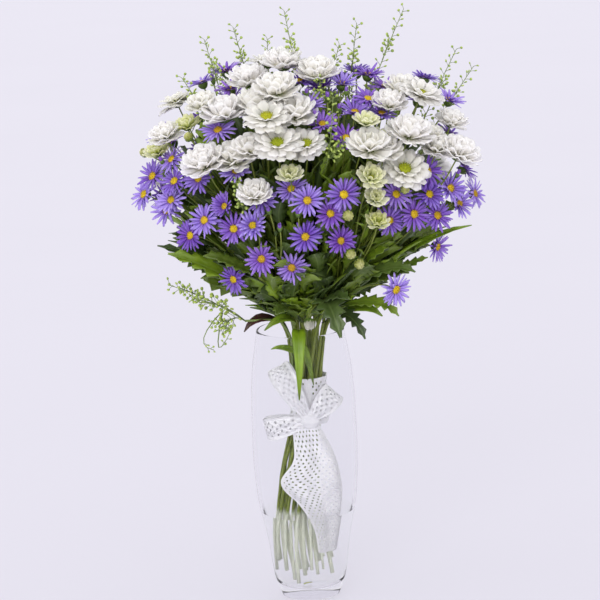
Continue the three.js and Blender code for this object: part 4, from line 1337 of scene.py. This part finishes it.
def add_violet_bud(index, place, size):
    """A closed aster: a deep green cup with the tips of its petals standing out of it."""
    facing = (facing_at(place, index) + UP * 1.2).normalized()
    bud = {"place": place, "size": size, "facing": facing, "roll": 0, "shade": 0.35, "joint": 0.3}
    spray = spray_of(place)
    add_stalk(spray, bud, 0, size * 0.7)
    add_cup(spray["greens"], bud, size * 0.24, size * 0.7, 8)
    add_petals(spray["violets"], bud, VIOLET_BUD_RING, "violet_petal", 0.6, 0, 0.9)


def add_bud(index, place, size, tone=1.0):
    """A closed chrysanthemum: petals drawn together over a round core, in a shallow cup."""
    bud = bloom_at(place, size, "bud", index)
    facing = bud["facing"]
    spray = spray_of(place)
    start = joint(spray, 0.2)
    foot = place - facing * size * 0.6
    bend = foot - facing * (foot - start).length * 0.3
    stalk = curve(start, bend, foot, 6)
    spray["greens"].add("stalk", stalk, acrossing(facing), BUD_STALK, look="stem")
    seat = {**bud, "place": place - facing * size * 0.1}
    add_cup(spray["greens"], seat, size * 0.42, size * 0.45, 8)
    add_petals(bud_petals, bud, BUD_RINGS, "white_petal", 0.5, 0, tone)
    core = [place - facing * size * 0.3, place + facing * size * 0.45]
    bud_petals.add("bud", core, acrossing(facing), size * 0.36, 0.5, tone)


# ---- Penny-cress


def add_pod(bunch, start, heading, stalk, size):
    foot = start + heading * stalk
    bend = start + heading * stalk * 0.5 + UP * 0.8
    thread = curve(start, bend, foot, 3)
    bunch.add("thread", thread, acrossing(heading), POD_THREAD, look="twig")
    side = Matrix.Rotation(drawn(0, math.pi), 3, heading) @ acrossing(heading)
    bunch.add("pod", [foot, foot + heading * size], side, size * 0.5, drawn(0, 1))


def add_twig(bunch, path, first, count, stalk, size):
    """A twig with pods on thin stalks all round it, smaller towards its tip."""
    radii = np.linspace(*TWIG_RADII, len(path))
    bunch.add("stalk", path, beside(path), radii, look="twig")
    for number in range(count):
        share = first + (1 - first) * (number + 1) / count
        point, along = on_path(path, share)
        heading = (around(along, number * GOLDEN_ANGLE) + along * 0.75).normalized()
        thread = stalk * (1 - 0.45 * share)
        add_pod(bunch, point, heading, thread, size * (0.75 + 0.35 * (1 - share)))


def cress_piece(number, name, ring, place, fork, tips):
    bunch = Bunch()
    fork, tips = Vector(fork), [Vector(tip) for tip in tips]
    middle = FAN_POINT.lerp(fork, CRESS_BEND)
    middle.z = max(middle.z, JAR_HEIGHT + 14)
    stem = {"ring": ring, "place": place, "foot": spread(number, *CRESS_FEET)}
    path = stem_path({**stem, "goal": middle, "end": fork})
    bunch.add("stem", path, beside(path), CRESS_STEM, look="twig")
    for index, tip in enumerate(tips):
        twig = curve(fork, fork.lerp(tip, 0.5) + UP * (8 + 4 * index), tip, 12)
        add_twig(bunch, twig, *(LOOSE_PODS if name == "low_left" else CLOSE_PODS))
        for branch in range(2):
            base = twig[5 + 3 * branch]
            along = (twig[9] - twig[5]).normalized()
            side = acrossing(along) * (1 if (branch + index) % 2 else -1)
            end = base + (along * 0.8 + side * 0.55) * BRANCH_LENGTH
            bend = base + along * 13 + side * 3
            add_twig(bunch, curve(base, bend, end, 6), *BRANCH_PODS)
    for bend, tip in FRONT_TWIGS.get(name, []):
        add_twig(bunch, curve(fork, Vector(bend), Vector(tip), 12), *FRONT_PODS)
    for bend, tip in TENDRILS.get(name, []):
        thread = curve(fork.lerp(tips[0], 0.3), Vector(bend), Vector(tip), 12)
        add_twig(bunch, thread, *TENDRIL_PODS)
    bunch.piece(f"penny_cress_{name}", ("pod", "twig"), "cress_green", f"cress_{name}")


# ---- Ribbon


def lace_piece(piece):
    piece.data.materials.append(finishes["lace"])
    return declared(smoothed(piece), "ribbon_cloth", "ribbon")


def lace_sheet(name, width, length, place):
    """A strip of cloth with rows of round eyelets, drawn out flat and hung by moving each point."""
    across, along = max(3, round(width / EYELET_CELL)), max(3, round(length / EYELET_CELL))
    add = bpy.ops.mesh.primitive_grid_add
    piece = primitive(name, add, x_subdivisions=across, y_subdivisions=along, size=1)
    editing("FACE")
    mesh = bmesh.from_edit_mesh(piece.data)
    for face in mesh.faces:
        middle = face.calc_center_median()
        column = round((middle.x + 0.5) * across - 0.5)
        row = round((middle.y + 0.5) * along - 0.5)
        inner = 0 < column < across - 1 and 0 < row < along - 1
        face.select_set(inner and (column + row) % 2 == 0)
    bmesh.update_edit_mesh(piece.data)
    margin = EYELET_MARGIN / along
    bpy.ops.mesh.inset(thickness=margin, use_individual=True, use_relative_offset=False)
    bpy.ops.mesh.delete(type="FACE")
    bpy.ops.object.mode_set(mode="OBJECT")
    applied(piece, "SUBSURF", levels=1, render_levels=1, boundary_smooth="ALL")
    for vert in piece.data.vertices:
        vert.co = place(vert.co.x + 0.5, vert.co.y + 0.5) * MM
    applied(piece, "SOLIDIFY", thickness=LACE_THICKNESS, offset=0)
    return lace_piece(piece)


def smooth_between(values, share):
    """A value on a smooth curve through others that stand at even steps."""
    at = share * (len(values) - 1)
    low = min(int(at), len(values) - 2)
    t = at - low
    before, after = values[max(low - 1, 0)], values[min(low + 2, len(values) - 1)]
    one, two = values[low], values[low + 1]
    square = (2 * before - 5 * one + 4 * two - after) * t**2
    cube = (3 * one - before - 3 * two + after) * t**3
    return 0.5 * (2 * one + (two - before) * t + square + cube)


def tail_point(across, down):
    columns = [smooth_between(column, 1 - down) for column in zip(*TAIL_ROWS)]
    height, left, right, radius, wave = columns
    turn = math.radians(left + (right - left) * across)
    out = radius - wave * math.cos(4 * math.pi * across)
    return Vector((out * math.cos(turn), out * math.sin(turn), height))


def loop_place(end, width):
    """A bow's loop: cloth gathered at the knot, laid out wide in front and folded back."""
    reach = Vector(end) - KNOT
    side = reach.cross(BACK).normalized()

    def place(across, along):
        out, deep, wide = (smooth_between(column, along) for column in zip(*LOOP))
        gather = 1.5 * math.sin(across * 5 * math.pi) * (1.1 - out)
        puff = 1.6 * math.sin(across * 2.6 * math.pi + 1) * math.sin(along * math.pi)
        depth = deep + gather + puff
        return KNOT + reach * out + BACK * depth + side * (across - 0.5) * (wide * width)

    return place


def wrap_point(across, along):
    turn = along * 2 * math.pi - math.pi / 2
    height = WRAP_LOW + (WRAP_HIGH - WRAP_LOW) * across
    radius = WRAP_RADIUS + 0.6 * math.sin(turn * 9 + across * 6) + 0.4 * math.sin(across * 14)
    return Vector((WAIST_ACROSS + radius * math.cos(turn), radius * math.sin(turn), height))


def knot_piece():
    """The knot: a ball of folded cloth, drawn in by its turns and puckered between them."""
    add = bpy.ops.mesh.primitive_uv_sphere_add
    place = KNOT * MM
    piece = primitive("ribbon_knot", add, segments=28, ring_count=18, radius=1, location=place)
    bpy.ops.transform.resize(value=KNOT_SIZE * MM)
    bpy.ops.object.transform_apply()
    editing()
    for level, share in KNOT_TURNS:
        chosen(lambda co: abs(co.z / MM - KNOT.z - level * KNOT_SIZE.z) < 0.9)
        bpy.ops.transform.resize(value=(share, share, 1), center_override=place)
    bpy.ops.object.mode_set(mode="OBJECT")
    applied(piece, "SUBSURF", levels=1, render_levels=1)
    lace_piece(piece)


def ribbon():
    width, length = TAIL_FLAT
    tail = lace_sheet("ribbon_tail", width, length, tail_point)
    for name, end, width in BOWS:
        place = loop_place(end, width)
        path = [place(0.5, step / BOW_STEPS) for step in range(BOW_STEPS + 1)]
        length = sum((b - a).length for a, b in zip(path, path[1:]))
        bow = lace_sheet(f"ribbon_bow_{name}", width, length, place)
    width, length = WRAP_HIGH - WRAP_LOW, 2 * math.pi * WRAP_RADIUS
    wrap = lace_sheet("ribbon_wrap", width, length, wrap_point)
    knot_piece()


def fallen_petal():
    bunch = Bunch()
    start = Vector((-8, -12, JAR_FLOOR + 1.2))
    path = curve(start, start + Vector((4, 3, 2.4)), start + Vector((9, 5, 0.6)), 5)
    bunch.add("white_petal", path, Vector((0, 1, 0.2)), 6, 0.5, 0.9)
    bunch.piece("fallen_petal", ("white",), "white_petals")


# ---- Studio


def studio():
    add = bpy.ops.mesh.primitive_circle_add
    floor = primitive("pale_floor", add, vertices=96, radius=26, fill_type="NGON")
    finish = Finish("pale_floor", 0.9, mottled, {"Patches": 2.0})
    tint = slightly_uneven(finish, FLOOR_TINT)
    glow = {"Emission Color": tint, "Emission Strength": FLOOR_GLOW}
    fill(finish.tree, finish.shader, {"Base Color": tint, **glow})
    floor.data.materials.append(finish.material)
    world = bpy.context.scene.world or bpy.data.worlds.new("studio")
    bpy.context.scene.world = world
    world.use_nodes = True
    tree = world.node_tree
    sides = {0: added(tree, "TexCoord", {}).outputs["Generated"], 1: SOFT_LIGHT_SIDE.normalized()}
    facing = added(tree, "VectorMath", sides, operation="DOT_PRODUCT").outputs["Value"]
    ends = {"From Min": -0.3, "From Max": 1, "To Min": SKY_GLOW[0], "To Max": SKY_GLOW[1]}
    strength = added(tree, "MapRange", {"Value": facing, **ends}).outputs["Result"]
    fill(tree, tree.nodes["Background"], {"Color": SKY_TINT, "Strength": strength})
    sun = primitive("soft_key", bpy.ops.object.light_add, type="SUN", location=SOFT_LIGHT_SIDE)
    sun.data.energy = KEY_STRENGTH
    sun.data.angle = math.radians(KEY_SOFTNESS)
    sun.rotation_euler = SOFT_LIGHT_SIDE.to_track_quat("Z", "Y").to_euler()
    bpy.context.scene.view_settings.view_transform = "Standard"


def camera():
    view = primitive("photo_view", bpy.ops.object.camera_add, location=EYE * MM)
    view.data.lens = LENS
    turn = (LOOK_AT * MM - EYE * MM).to_track_quat("-Z", "Y").to_matrix().to_4x4()
    roll = Matrix.Rotation(math.radians(CAMERA_ROLL), 4, "Z")
    view.rotation_euler = (turn @ roll).to_euler()
    bpy.context.scene.camera = view


# ---- The whole

masters = {name: leaf_sheet(name, *shape) for name, shape in BLADES.items()}
masters.update({name: round_rod(name, *shape) for name, shape in RODS.items()})
masters.update({name: upright_master(name, *shape) for name, shape in ROUNDS.items()})
masters["pod"].points[:, 2] *= POD_FLATNESS
veined = pattern_group("veined", veins, Lines=9.0, Unevenness=0.4)
mottled = pattern_group("mottled", mottles, Patches=60.0, Grain=900.0)
cup_patches = [(0.3, (0.6, 0.65, 0.55)), (0.65, (1.1, 1.1, 1))]
cup_green = ((0.07, 0.13, 0.02), (0.15, 0.24, 0.04))
pod_patches = [(0.35, (0.7, 0.75, 0.6)), (0.65, (1.2, 1.15, 1))]
pod_green = ((0.24, 0.36, 0.06), (0.44, 0.54, 0.14))
pod_light = let_through(0.15, (0.8, 1, 0.4), 0.002)
stem_green = ((0.09, 0.13, 0.012), (0.25, 0.3, 0.04))
twig_green = ((0.14, 0.2, 0.05), (0.26, 0.34, 0.1))
finishes = {
    "white": white_petal_finish(),
    "white_disc": disc_finish("bloom_middles", (0.36, 0.46, 0.012), (0.62, 0.6, 0.02)),
    "violet": violet_petal_finish(),
    "aster_disc": disc_finish("aster_middles", (0.86, 0.64, 0.015), (0.5, 0.18, 0.02)),
    "leaf": leaf_finish(),
    "stem": stem_finish("stems", lines(4.0, 0.45, 0.4), *stem_green),
    "cup": green_finish("cups_and_buds", 0.5, 160.0, *cup_green, cup_patches),
    "pod": green_finish("cress_pods", 0.45, 260.0, *pod_green, pod_patches, pod_light),
    "twig": stem_finish("cress_twigs", lines(3.0, 0.5, 0.3), *twig_green),
    "lace": lace_finish(),
}

sprays = [planned_spray(number, *row) for number, row in enumerate(SPRAYS)]
blooms = turned(layered(with_back_blooms(front_blooms())))
hang_blooms()
filling_leaves()
bud_petals = Bunch()
for index, (across, up, size) in enumerate(BUDS):
    add_bud(index, dome_point(across, up, BUD_LIFT), size)
add_bud(len(BUDS), LOW_BUD, LOW_BUD_SIZE, LOW_BUD_TONE)
for index, (across, up, size) in enumerate(VIOLET_BUDS):
    add_violet_bud(index, dome_point(across, up, VIOLET_BUD_LIFT), size)
for spray in sprays:
    spray_pieces(spray)
bud_petals.piece("bud_petals", ("white",), "white_petals")
for number, row in enumerate(CRESS):
    cress_piece(number, *row)

# Each white bloom goes into the piece of the solid that is nearest to it
white_nodes = {}
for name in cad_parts:
    if name.startswith("white_blooms_"):
        low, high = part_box(name)
        white_nodes[name] = (Vector(low) + Vector(high)) / 2 / MM
own_blooms = {name: Bunch() for name in white_nodes}
for bloom in blooms:
    if bloom["kind"] == "white":
        nearest = min(white_nodes, key=lambda name: (white_nodes[name] - bloom["place"]).length)
        add_white_bloom(own_blooms[nearest], bloom)
for name, bunch in own_blooms.items():
    number = name.rsplit("_", 1)[1]
    bunch.piece(f"chrysanthemum_{number}", ("white", "white_disc"), "white_petals", name)

jar()
water()
ribbon()
fallen_petal()
studio()
camera()
